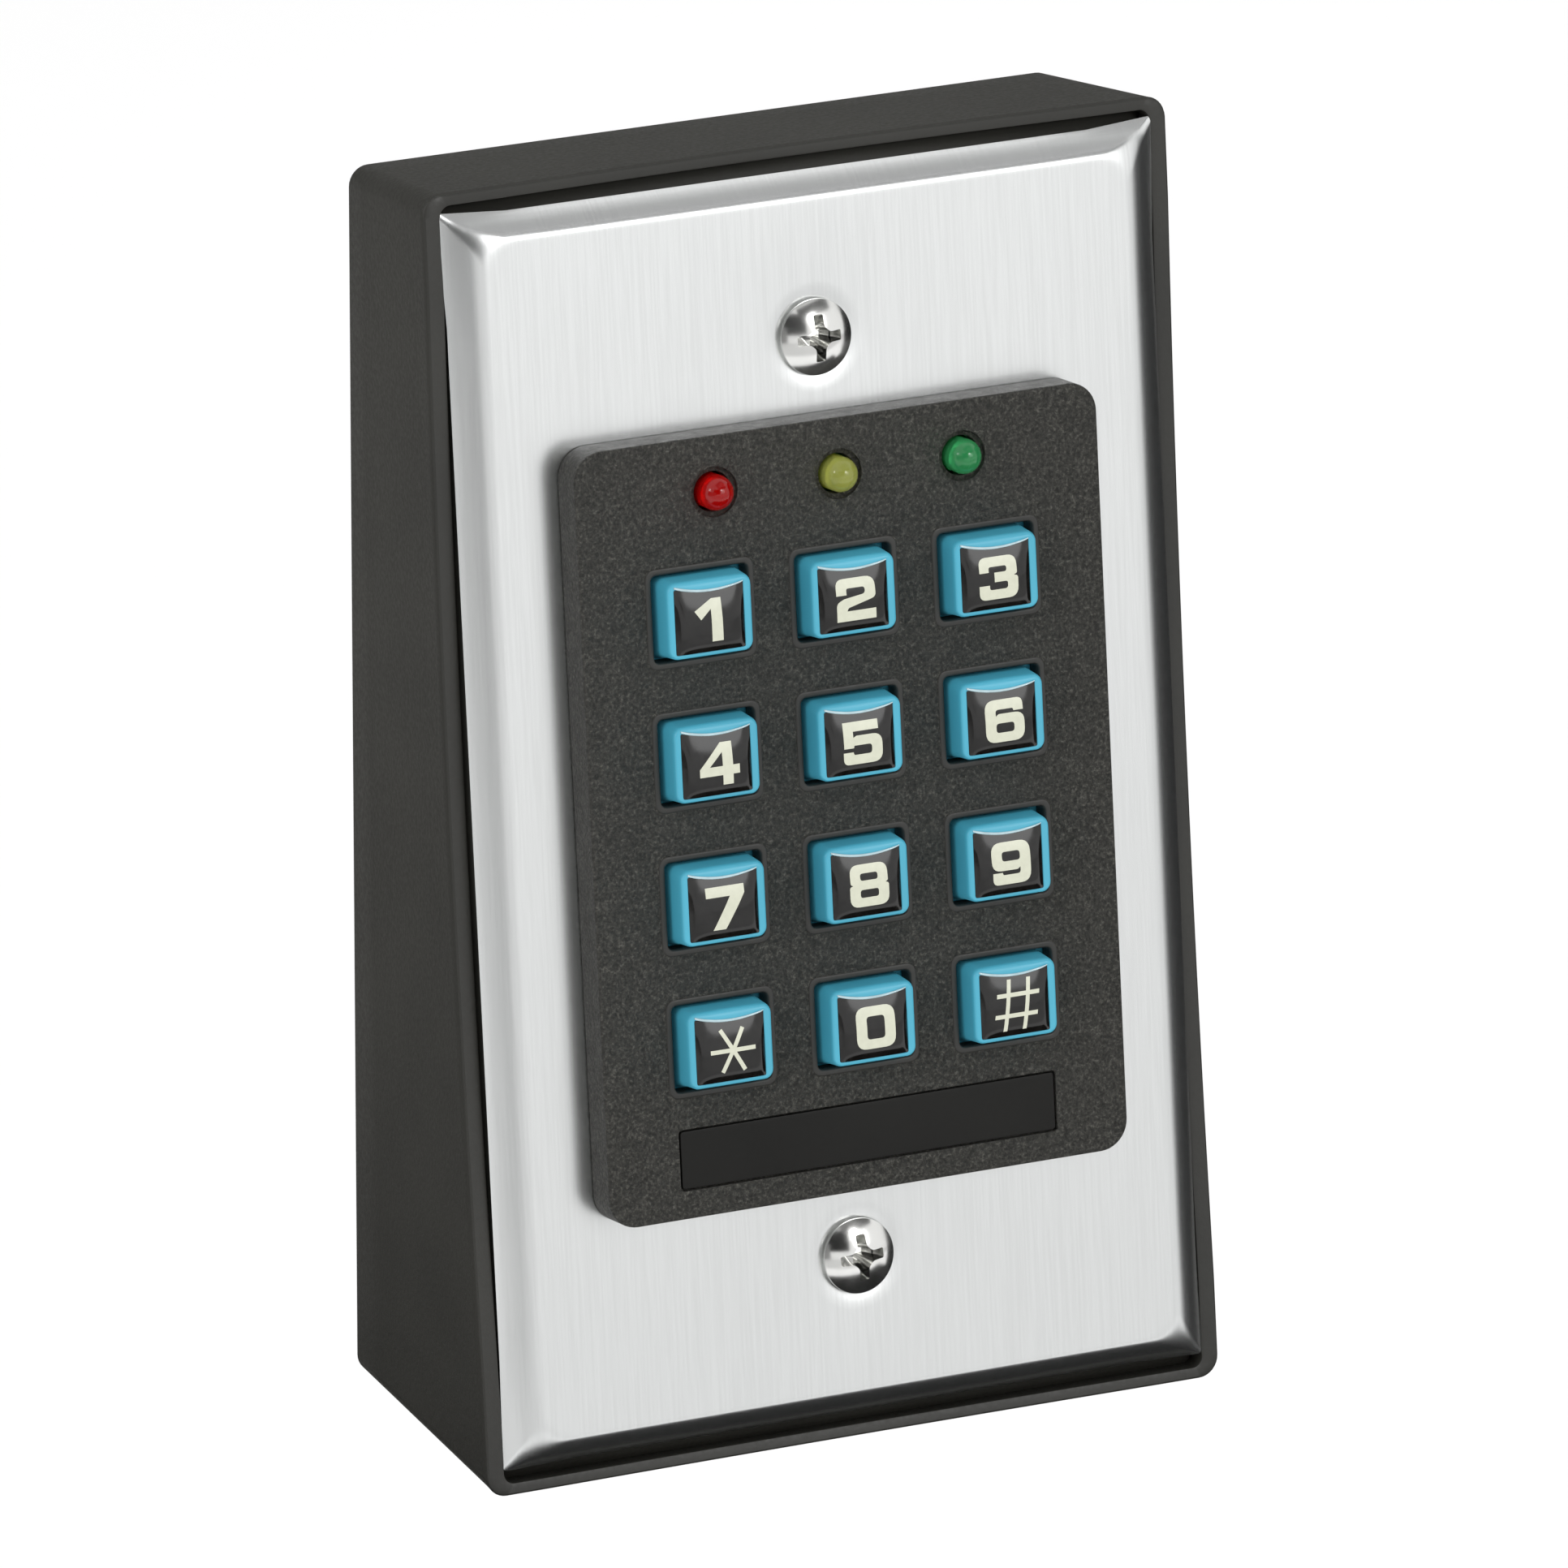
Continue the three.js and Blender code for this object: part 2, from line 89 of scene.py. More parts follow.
def size_of(node):
    """(lowest, highest) corner of a node in the plate's axes, in millimetres."""
    spans = [span_along(node, axis) for axis in (RIGHT, UP, OUT)]
    shift = [axis.dot(origin) for axis in (RIGHT, UP, OUT)]
    low = Vector([(s[0] - d) / MM for s, d in zip(spans, shift)])
    high = Vector([(s[1] - d) / MM for s, d in zip(spans, shift)])
    return low, high


def middle_of(node):
    low, high = size_of(node)
    return (low + high) / 2


# ---------------------------------------------------------------- mesh helpers


def rounded_polygon(corners, steps=5):
    """Points round a polygon whose corners are (x, y) or (x, y, radius)."""
    points = []
    count = len(corners)
    for index, corner in enumerate(corners):
        here = Vector(corner[:2])
        radius = corner[2] if len(corner) > 2 else 0
        if radius == 0:
            points.append(here)
            continue
        before = Vector(corners[index - 1][:2])
        after = Vector(corners[(index + 1) % count][:2])
        to_before = (before - here).normalized()
        to_after = (after - here).normalized()
        half = to_before.angle(to_after) / 2
        shorter_side = min((before - here).length, (after - here).length)
        reach = min(radius / math.tan(half), 0.5 * shorter_side)
        start = here + to_before * reach
        end = here + to_after * reach
        for step in range(steps + 1):
            t = step / steps
            points.append(start * (1 - t) ** 2 + here * 2 * t * (1 - t) + end * t**2)
    return points


def outline(width, height, radius, corner_steps=6, side_steps=1):
    """A rounded rectangle about the origin. Every outline with the same steps has the same points."""
    points = []
    x, y = width / 2 - radius, height / 2 - radius
    corners = [(x, y), (-x, y), (-x, -y), (x, -y)]
    for index, (cx, cy) in enumerate(corners):
        arc = []
        for step in range(corner_steps + 1):
            angle = (index + step / corner_steps) * math.pi / 2
            arc.append(Vector((cx + radius * math.cos(angle), cy + radius * math.sin(angle))))
        points += arc
        turn = (index + 1) * math.pi / 2
        nx, ny = corners[(index + 1) % 4]
        start = arc[-1]
        end = Vector((nx + radius * math.cos(turn), ny + radius * math.sin(turn)))
        for step in range(1, side_steps):
            points.append(start.lerp(end, step / side_steps))
    return points


def circle(radius, count):
    turns = [2 * math.pi * step / count for step in range(count)]
    return [Vector((radius * math.cos(turn), radius * math.sin(turn))) for turn in turns]


def at_height(points, w, move=(0, 0)):
    return [Vector((p.x + move[0], p.y + move[1], w)) for p in points]


def loft(bm, rings, closed=True):
    """Skins a list of rings that all have the same number of points."""
    made = [[bm.verts.new(point) for point in ring] for ring in rings]
    count = len(made[0])
    for lower, upper in zip(made, made[1:]):
        for index in range(count):
            following = (index + 1) % count
            bm.faces.new((lower[index], lower[following], upper[following], upper[index]))
    if closed:
        bm.faces.new(list(reversed(made[0])))
        bm.faces.new(made[-1])
    return made


def turned(bm, profile, count, move):
    """A body of revolution about w: the profile's [radius, w] points run from low to high."""
    rings = [at_height(circle(max(radius, 1e-3), count), w, move) for radius, w in profile]
    return loft(bm, rings)


def cylinder(bm, radius, back, front, count, move):
    return turned(bm, [(radius, back), (radius, front)], count, move)


def filled(outlines, back, front, bevel=0, bevel_steps=2):
    """A flat body between two heights with the given outlines, holes included, and rounded edges."""
    curve = bpy.data.curves.new("outline", "CURVE")
    curve.dimensions = "2D"
    curve.fill_mode = "BOTH"
    curve.extrude = (front - back) / 2 - bevel
    curve.bevel_depth = bevel
    curve.bevel_resolution = bevel_steps
    curve.offset = -bevel
    for points in outlines:
        spline = curve.splines.new("POLY")
        spline.points.add(len(points) - 1)
        for place, point in zip(spline.points, points):
            place.co = (point.x, point.y, 0, 1)
        spline.use_cyclic_u = True
    holder = bpy.data.objects.new("outline", curve)
    bpy.context.scene.collection.objects.link(holder)
    bpy.context.view_layer.update()
    depsgraph = bpy.context.evaluated_depsgraph_get()
    mesh = bpy.data.meshes.new_from_object(holder.evaluated_get(depsgraph))
    bm = bmesh.new()
    bm.from_mesh(mesh)
    bmesh.ops.translate(bm, verts=bm.verts, vec=(0, 0, (front + back) / 2))
    bmesh.ops.remove_doubles(bm, verts=bm.verts, dist=1e-4)
    bpy.data.objects.remove(holder)
    bpy.data.curves.remove(curve)
    bpy.data.meshes.remove(mesh)
    return bm


def merged(*bodies):
    whole = bmesh.new()
    for body in bodies:
        mesh = bpy.data.meshes.new("part")
        body.to_mesh(mesh)
        whole.from_mesh(mesh)
        bpy.data.meshes.remove(mesh)
        body.free()
    return whole


def mesh_object(name, bm, matrix=LEAN):
    bmesh.ops.recalc_face_normals(bm, faces=bm.faces)
    mesh = bpy.data.meshes.new(name)
    bm.to_mesh(mesh)
    bm.free()
    mesh.transform(matrix)
    made = bpy.data.objects.new(name, mesh)
    bpy.context.scene.collection.objects.link(made)
    return made


def combine(target, tool_bm, operation, matrix=LEAN):
    """Cuts a body from an object, or joins it on, for good."""
    tool = mesh_object("tool", tool_bm, matrix)
    modifier = target.modifiers.new(operation, "BOOLEAN")
    modifier.operation = operation
    modifier.object = tool
    modifier.solver = "EXACT"
    apply_modifiers(target)
    bpy.data.objects.remove(tool)


def apply_modifiers(target):
    bpy.context.view_layer.update()
    depsgraph = bpy.context.evaluated_depsgraph_get()
    mesh = bpy.data.meshes.new_from_object(target.evaluated_get(depsgraph))
    target.modifiers.clear()
    old = target.data
    target.data = mesh
    bpy.data.meshes.remove(old)


def shade(target, angle):
    """Smooth shading with edges kept crisp beyond an angle."""
    mesh = target.data
    mesh.polygons.foreach_set("use_smooth", [True] * len(mesh.polygons))
    mesh.set_sharp_from_angle(angle=math.radians(angle))


def finish_piece(target, material, nodes=(), body=HOUSING, *, angle):
    """Gives a piece its shading and finish, and says what it rides on and stands for."""
    shade(target, angle)
    target.data.materials.clear()
    target.data.materials.append(material)
    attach(target, body)
    if nodes:
        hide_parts(*nodes)


# ---------------------------------------------------------------- materials

NOISE_REACH = (0.3, 0.7)  # nearly all of a noise lies between these levels
RAMP_STOPS = (0.35, 0.65)  # levels that get a ramp's darkest and lightest colour


class Finish:
    """A Principled material with a small node tree built up in words."""

    def __init__(self, name, color, roughness, metallic=0.0):
        self.material = bpy.data.materials.new(name)
        self.material.use_nodes = True
        self.nodes = self.material.node_tree.nodes
        self.links = self.material.node_tree.links
        self.shader = self.nodes["Principled BSDF"]
        self.shader.inputs["Base Color"].default_value = (*color, 1)
        self.shader.inputs["Roughness"].default_value = roughness
        self.shader.inputs["Metallic"].default_value = metallic
        self.color = color
        self.roughness = roughness
        self.bump = None

    def set(self, **values):
        """Sets the shader's own sockets, with an underscore for each space in a name."""
        for name, value in values.items():
            self.shader.inputs[name.replace("_", " ")].default_value = value

    def noise(self, scale, detail=2.0, rough=0.5, stretch=(1, 1, 1)):
        """Noise whose features are about 1/scale metres across, longer where stretch is small."""
        place = self.nodes.new("ShaderNodeTexCoord")
        mapping = self.nodes.new("ShaderNodeMapping")
        mapping.inputs["Scale"].default_value = stretch
        texture = self.nodes.new("ShaderNodeTexNoise")
        texture.inputs["Scale"].default_value = scale
        texture.inputs["Detail"].default_value = detail
        texture.inputs["Roughness"].default_value = rough
        self.links.new(place.outputs["Object"], mapping.inputs["Vector"])
        self.links.new(mapping.outputs["Vector"], texture.inputs["Vector"])
        return texture.outputs["Fac"]

    def ranged(self, source, low, high):
        """Stretches a noise to run from low to high."""
        spread = self.nodes.new("ShaderNodeMapRange")
        spread.inputs["From Min"].default_value = NOISE_REACH[0]
        spread.inputs["From Max"].default_value = NOISE_REACH[1]
        spread.inputs["To Min"].default_value = low
        spread.inputs["To Max"].default_value = high
        self.links.new(source, spread.inputs["Value"])
        return spread.outputs["Result"]

    def vary_color(self, source, spread):
        """Lightens and darkens the colour by a share of itself."""
        ramp = self.nodes.new("ShaderNodeValToRGB")
        dark = [max(0, part * (1 - spread)) for part in self.color]
        light = [min(1, part * (1 + spread)) for part in self.color]
        for element, position, color in zip(ramp.color_ramp.elements, RAMP_STOPS, (dark, light)):
            element.position = position
            element.color = (*color, 1)
        self.links.new(source, ramp.inputs["Fac"])
        self.links.new(ramp.outputs["Color"], self.shader.inputs["Base Color"])
        return self

    def speckle(self, source, stops):
        """Shades the colour through a list of (noise level, times the colour)."""
        ramp = self.nodes.new("ShaderNodeValToRGB")
        elements = ramp.color_ramp.elements
        for _ in stops[2:]:
            elements.new(0.5)
        for element, (level, times) in zip(elements, stops):
            element.position = level
            element.color = (*[part * times for part in self.color], 1)
        self.links.new(source, ramp.inputs["Fac"])
        self.links.new(ramp.outputs["Color"], self.shader.inputs["Base Color"])
        return self

    def vary_roughness(self, source, spread):
        low, high = self.roughness - spread, self.roughness + spread
        self.links.new(self.ranged(source, low, high), self.shader.inputs["Roughness"])
        return self

    def add_bump(self, source, depth, strength=1.0):
        bump = self.nodes.new("ShaderNodeBump")
        bump.inputs["Distance"].default_value = depth
        bump.inputs["Strength"].default_value = strength
        self.links.new(source, bump.inputs["Height"])
        if self.bump:
            self.links.new(self.bump.outputs["Normal"], bump.inputs["Normal"])
        self.links.new(bump.outputs["Normal"], self.shader.inputs["Normal"])
        self.bump = bump
        return self


def moulded(name, color, roughness, grain, depth):
    """Moulded plastic: a fine grain, its depth in metres, and a slow drift of tone."""
    made = Finish(name, color, roughness)
    fine = made.noise(grain, detail=3)
    slow = made.noise(60)
    made.vary_color(slow, 0.12).vary_roughness(fine, 0.06).add_bump(fine, depth)
    return made


def box_finish():
    return moulded("box_plastic", (0.020, 0.0195, 0.0160), 0.46, grain=2500, depth=0.00002).material


def bezel_finish():
    """Charcoal plastic with the pebbled grain of a spark-eroded mould, and painted glints on the grain."""
    made = Finish("bezel_plastic", (0.043, 0.0420, 0.0362), 0.42)
    pebbles_and_glints = made.noise(3200, detail=4, rough=0.75)
    patches = made.noise(800)
    # The darker stops are the grain's own tone; the brightest stops (1.8 and 3.2 times) are painted glints.
    made.speckle(pebbles_and_glints, [(0.38, 0.42), (0.47, 0.82), (0.53, 1.1), (0.60, 1.8), (0.68, 3.2)])
    made.vary_roughness(patches, 0.06)
    made.add_bump(patches, 0.0001, strength=0.7).add_bump(pebbles_and_glints, 0.0005)
    return made.material


def key_frame_finish():
    """The same charcoal plastic, left smooth round the key openings."""
    return moulded("bezel_smooth", (0.020, 0.0197, 0.0170), 0.45, grain=2500, depth=0.000008).material


def steel_finish():
    """Stainless sheet with a vertical brushed grain."""
    made = Finish("stainless_steel", (0.785, 0.797, 0.793), 0.27, metallic=1.0)
    grain = made.noise(1.0, rough=0.6, stretch=(5200, 110, 110))
    streaks = made.noise(1.0, stretch=(1800, 25, 25))
    made.vary_color(grain, 0.028).vary_roughness(streaks, 0.002)
    return made.material


def nickel_finish():
    made = Finish("bright_nickel", (0.78, 0.78, 0.76), 0.16, metallic=1.0)
    made.vary_roughness(made.noise(500, detail=3), 0.04)
    return made.material


def keycap_finish():
    made = Finish("keycap_plastic", (0.062, 0.365, 0.500), 0.34)
    made.vary_color(made.noise(60, detail=1), 0.04)
    made.vary_roughness(made.noise(200, detail=1), 0.03)
    return made.material


def lip_highlight_finish():
    """The caps' rolled top lip, painted pale as a highlight along it."""
    made = Finish("keycap_lip_painted_highlight", (0.42, 0.56, 0.60), 0.12)
    made.set(Coat_Weight=0.8, Coat_Roughness=0.05)
    made.vary_color(made.noise(900), 0.08)
    return made.material


def tile_finish():
    made = Finish("legend_tile", (0.005, 0.0045, 0.004), 0.12)
    made.set(Specular_IOR_Level=0.54)
    fine = made.noise(1500, detail=3)
    made.vary_color(fine, 0.3).vary_roughness(fine, 0.03)
    return made.material


def legend_finish():
    made = Finish("legend_ink", (0.58, 0.59, 0.475), 0.22)
    made.vary_color(made.noise(1800, detail=3), 0.03)
    return made.material


def label_finish():
    made = moulded("label_plastic", (0.009, 0.0088, 0.0078), 0.45, grain=1800, depth=0.000003)
    made.set(Specular_IOR_Level=0.18)
    return made.material


def lamp_finish(name, color):
    made = Finish(f"lamp_{name}", color, 0.08)
    made.set(Transmission_Weight=0.78, IOR=1.45)
    made.vary_color(made.noise(120, detail=1), 0.05)
    return made.material


# ---------------------------------------------------------------- the surface box

BOX_CORNER = 1.9
BOX_WALL = 2.4
BACK_WALL = 2.5
INNER_CORNER = 1.0
BACK_EDGE = [(0.3, 0), (0.1, 0.06), (0, 0.25)]  # inset, distance from the wall
SIDE_LINES = (0.8, 0.6, 0.4, 0.2, 0.05)  # shares of the way from the front to the wall
FRONT_EDGE = [(0, 0.3), (0.07, 0.1), (0.22, 0)]  # inset, depth below the rim
RIM = Vector((1.7, 1.1))  # width at the sides, width at the top and bottom
RIM_EDGE = [(0.84, 0), (0.96, 0.06), (1, 0.2)]  # share of the rim's width, depth below the rim
REBATE = 2.0  # the plate sits this far below the rim
SEAT_INSET = 2.5
SEAT_RISE = 1.3  # a raised bead that closes the slit under the plate's edge
RIM_BOW = 1.0  # how far the rim bows in at the middle of a side
CORNER_BOW = 0.35  # share of the bow that is taken away towards the corners
BOWED_BAND = 0.5  # lines this close to the rim follow its bow
BOTTOM_BOW = 0.3  # share of the bow that the bottom edge keeps
BOTTOM_DROP = 0.25  # how much lower the bottom edge comes
RIM_BAND = 0.05
ON_WALL = -1e-5
WALL_HOLES = [(x, z) for x in (-24, 24) for z in (-40, 40)]
WALL_HOLE_RADIUS = 2.25
CABLE_HOLE = (0, -24)
CABLE_RADIUS = 9
CUT_REACH = 8  # the holes' cutters run this far either side of the wall
BOSS_RADIUS = 4
BOSS_TOP = -2.0
BOSS_ROOT = 1.2  # the boss starts this far in from the back of the box
PILOT_RADIUS = 1.95
PILOT_REACH = (-14, 1)  # lowest and highest w of a pilot hole


def box_sizes():
    """Front outline of the box in the plate's axes, and its back outline on the wall."""
    node = frame["nodes"]["surface_box"].data
    back = [v.co for v in node.vertices if v.co.y > ON_WALL]
    slanted = [axes.to_3x3().transposed() @ (v.co - origin) / MM for v in node.vertices]
    rim_w = max(p.z for p in slanted)
    rim = [p for p in slanted if p.z > rim_w - RIM_BAND]
    return {
        "width": 2 * max(p.x for p in rim),
        "height": 2 * max(p.y for p in rim),
        "rim_w": rim_w,
        "back_width": 2 * max(p.x for p in back) / MM,
        "back_top": max(p.z for p in back) / MM,
        "back_bottom": min(p.z for p in back) / MM,
    }


def surface_box():
    s = box_sizes()
    back_height = s["back_top"] - s["back_bottom"]
    back_middle = (s["back_top"] + s["back_bottom"]) / 2
    rim_w = s["rim_w"]
    ledge_w = rim_w - REBATE

    def ring(inset, w=None, depth=0.0, radius=BOX_CORNER, y=None):
        """Points inset from the outside, at a height w on the leaning front, a share of the way
        back, or at a distance y from the wall."""
        sideways, upright = inset if isinstance(inset, Vector) else (inset, inset)
        points = outline(s["width"] - 2 * sideways, s["height"] - 2 * upright, radius, 8, 16)
        placed = []
        for p in points:
            across, upward = 2 * abs(p.x) / s["width"], 2 * abs(p.y) / s["height"]
            bow = RIM_BOW * max(0, 1 - min(across, upward) ** 2 - CORNER_BOW * (across * upward) ** 2)
            below = max(0, -2 * p.y / s["height"])
            bow *= 1 - (1 - BOTTOM_BOW) * below**6
            p.y -= BOTTOM_DROP * below
            level = rim_w if w is None else w
            front = LEAN @ Vector((p.x, p.y, level - (bow if level > rim_w - BOWED_BAND else 0)))
            back = Vector((
                p.x * s["back_width"] / s["width"] * MM,
                0,
                (back_middle + p.y * back_height / s["height"]) * MM,
            ))
            share = depth if y is None else 1 - y * MM / max(-front.y, 1e-6)
            placed.append(front.lerp(back, share))
        return placed

    rings = [ring(inset, y=y) for inset, y in BACK_EDGE]
    rings += [ring(0, depth=share) for share in SIDE_LINES]
    rings += [ring(inset, w=rim_w - below) for inset, below in FRONT_EDGE]
    rings += [ring(RIM * share, w=rim_w - below, radius=INNER_CORNER) for share, below in RIM_EDGE]
    rings.append(ring(RIM, w=ledge_w, radius=INNER_CORNER))
    rings += [ring(SEAT_INSET, w=ledge_w + rise, radius=INNER_CORNER) for rise in (SEAT_RISE, 0)]
    rings.append(ring(BOX_WALL, y=BACK_WALL, radius=INNER_CORNER))
    bm = bmesh.new()
    loft(bm, rings)
    body = mesh_object("box_shell", bm, Matrix.Identity(4))
    holes = bmesh.new()
    for place in WALL_HOLES:
        cylinder(holes, WALL_HOLE_RADIUS, -CUT_REACH, CUT_REACH, 32, place)
    cylinder(holes, CABLE_RADIUS, -CUT_REACH, CUT_REACH, 64, CABLE_HOLE)
    facing_wall = Matrix.Rotation(math.pi / 2, 4, "X") @ Matrix.Scale(MM, 4)
    combine(body, holes, "DIFFERENCE", facing_wall)
    bosses = bmesh.new()
    pilots = bmesh.new()
    for screw in PLATE_SCREWS:
        v = middle_of(screw).y
        wall_w = -abs(origin.y + UP.y * v * MM) / abs(OUT.y) / MM
        cylinder(bosses, BOSS_RADIUS, wall_w + BOSS_ROOT, BOSS_TOP, 48, (0, v))
        cylinder(pilots, PILOT_RADIUS, *PILOT_REACH, 32, (0, v))
    combine(body, bosses, "UNION")
    combine(body, pilots, "DIFFERENCE")
    finish_piece(body, box_finish(), ["surface_box"], angle=30)


# ---------------------------------------------------------------- the cover plate

PLATE_CORNER = 0.5
PLATE_SHEET = 1.0
FOLD = [
    # share of the fold's width, height over the plate's flat front
    (0.0, -1.90), (0.08, -1.63), (0.167, -1.38), (0.25, -1.16), (0.333, -0.95), (0.44, -0.70),
    (0.556, -0.47), (0.64, -0.32), (0.722, -0.20), (0.78, -0.125), (0.833, -0.07), (0.88, -0.034),
    (0.93, -0.012), (1.0, -0.002), (1.08, 0.0),
]
FOLD_ACROSS = 3.6  # the fold's width at the sides
FOLD_UP = 2.5  # and at the top and bottom
FOLD_CORNER = 2.4  # what the corner's radius gains on the way in
DISH = [
    # radius, height
    (5.0, 0.0), (4.7, -0.01), (4.4, -0.03), (4.1, -0.06), (3.85, -0.10),
    (3.6, -0.14), (3.35, -0.17), (3.0, -0.18), (1.95, -0.18),
]
EAR = 0.65  # how far an ear stands out at the very edge
EAR_SHARE = 0.25  # the ears fade out over this share of the fold
EAR_REACH = 3.2  # how far it runs from the corner
BOTTOM_EAR = 0.35  # size of the bottom ears beside the top ones
WINDOW_LOW = (-20.2, -26.6)
WINDOW_HIGH = (20.2, 33.2)
WINDOW_CORNER = 2


def window():
    """The opening in the plate behind the keypad. The hollow back of the housing has the same outline."""
    (left, bottom), (right, top) = WINDOW_LOW, WINDOW_HIGH
    corners = [(left, bottom), (right, bottom), (right, top), (left, top)]
    return rounded_polygon([(*corner, WINDOW_CORNER) for corner in corners])


def fold_ring(width, height, share, w):
    """One line round the folded edge. The metal gathers into small ears at the corners."""
    across, upward = 2 * FOLD_ACROSS * share, 2 * FOLD_UP * share
    points = outline(width - across, height - upward, PLATE_CORNER + FOLD_CORNER * share, 8, 12)
    gather = EAR * max(0, 1 - share / EAR_SHARE) ** 1.5
    placed = []
    for p in points:
        reach = math.hypot(width / 2 - abs(p.x), height / 2 - abs(p.y))
        push = gather * max(0, 1 - reach / EAR_REACH) ** 2 * (1 if p.y > 0 else BOTTOM_EAR)
        placed.append(Vector((p.x + math.copysign(push, p.x), p.y + math.copysign(push, p.y), w)))
    return placed


def cover_plate():
    low, high = size_of("cover_plate")
    width, height = high.x - low.x, high.y - low.y
    bm = bmesh.new()
    fold = loft(bm, [fold_ring(width, height, share, w) for share, w in FOLD], closed=False)
    edges = ring_edges(bm, fold[-1])
    for screw in PLATE_SCREWS:
        v = middle_of(screw).y
        dish = loft(bm, [at_height(circle(r, 64), w, (0, v)) for r, w in DISH], closed=False)
        edges += ring_edges(bm, dish[0])
    edges += ring_edges(bm, [bm.verts.new((p.x, p.y, 0)) for p in window()], make=True)
    bmesh.ops.triangle_fill(bm, edges=edges, use_beauty=True)
    plate = mesh_object("steel_plate", bm)
    if sum(face.normal.dot(OUT) for face in plate.data.polygons) < 0:
        plate.data.flip_normals()
    sheet = plate.modifiers.new("sheet", "SOLIDIFY")
    sheet.thickness = PLATE_SHEET * MM
    sheet.offset = -1
    apply_modifiers(plate)
    finish_piece(plate, steel_finish(), ["cover_plate"], angle=40)


def ring_edges(bm, ring, make=False):
    """The edges round a closed ring of vertices, made where there are none yet."""
    pairs = zip(ring, ring[1:] + ring[:1])
    if make:
        return [bm.edges.new(pair) for pair in pairs]
    return [bm.edges.get(pair) for pair in pairs]


# ---------------------------------------------------------------- the plate screws

STEM = [(0.6, 0), (1.5, 1.2), (1.65, 2)]  # radius, height over the screw's tip
SEAT_W = -0.42  # the underside of the head, in its dish
# past the head's radius, height
HEAD_EDGE = [(-0.75, SEAT_W), (-0.12, 0), (-0.02, 0.12), (0, 0.24), (-0.03, 0.34), (-0.12, 0.39)]
CROWN_STEPS = 18
CROWN_RISE = 0.03  # the crown stands this far out of the screw's solid
CROSS_REACH = 2.12
CROSS_HALF = 0.47
CROSS_THROAT = 0.50  # how far the hollow corners stand out from the arms
TIP_CORNER = 0.18
THROAT_CORNER = 0.6


def cross_outline():
    """A Phillips cross: four arms with hollow corners between them."""
    inner = CROSS_HALF + CROSS_THROAT
    tips = [(CROSS_REACH, -CROSS_HALF, TIP_CORNER), (CROSS_REACH, CROSS_HALF, TIP_CORNER)]
    throats = [(inner, CROSS_HALF, THROAT_CORNER), (CROSS_HALF, inner, THROAT_CORNER)]
    shaped = []
    for turn in range(4):
        spin = Matrix.Rotation(turn * math.pi / 2, 2)
        shaped += [(*(spin @ Vector((x, y))), radius) for x, y, radius in tips + throats]
    return rounded_polygon(shaped, 4)


def plate_screw(name, turn):
    """A bright domed screw with a tapered cross recess, turned by an angle."""
    head = middle_of(name)
    low, high = size_of(name)
    top = high.z
    rim = (high.x - low.x) / 2
    profile = [(radius, low.z + rise) for radius, rise in STEM]
    profile.append((profile[-1][0], SEAT_W))
    profile += [(rim + past, w) for past, w in HEAD_EDGE]
    edge_radius, edge_w = profile[-1]
    for step in range(1, CROWN_STEPS + 1):
        share = 1 - step / CROWN_STEPS
        height = edge_w + (top - edge_w + CROWN_RISE) * (1 - share**2)
        profile.append((edge_radius * share, height))
    bm = bmesh.new()
    turned(bm, profile, 72, head.xy)
    screw = mesh_object(f"{name}_head", bm)
    taper = [(top + 0.4, 1.02), (top * 0.7, 1.0), (0.0, 0.90), (-1.6, 0.55)]  # height, size
    cutter = bmesh.new()
    rings = []
    for w, scale in taper:
        points = [Matrix.Rotation(turn, 2) @ p * scale for p in cross_outline()]
        rings.append(at_height(points, w, head.xy))
    loft(cutter, rings)
    combine(screw, cutter, "DIFFERENCE")
    finish_piece(screw, nickel, [name], angle=30)


# ---------------------------------------------------------------- the keypad housing

HOUSING_CORNER = 2.7
HOUSING_BACK = 0.03
HOUSING_EDGE = 0.22
SHELL = 1.6  # thickness of the face over the hollow back
SCREW_BORE = (1.55, 2.6)  # radius, depth
KEY_HOLE = (9.4, 7.8, 0.5)  # width, height, corner radius
KEY_FRAME = (10.6, 9.0, 0.9)
FRAME_SEAT = (10.1, 8.5, 0.8)
HOLE_SHIFT = Vector((0, 0.18))  # the openings sit a little higher than the keys
FRAME_RISE = 0.08
FRAME_BACK = 1.9
LAMP_HOLE_GAP = 0.12
LAMP_RING = (2.28, 0.4)  # radius, depth
LABEL_RECESS = (37.4, 5.6, 0.35)
LABEL_DEPTH = 0.5
LABEL_CORNER = 0.3
LABEL_EDGE = 0.06
LABEL_SINK = 0.15


def moved(points, place):
    return [p + Vector(place[:2]) for p in points]


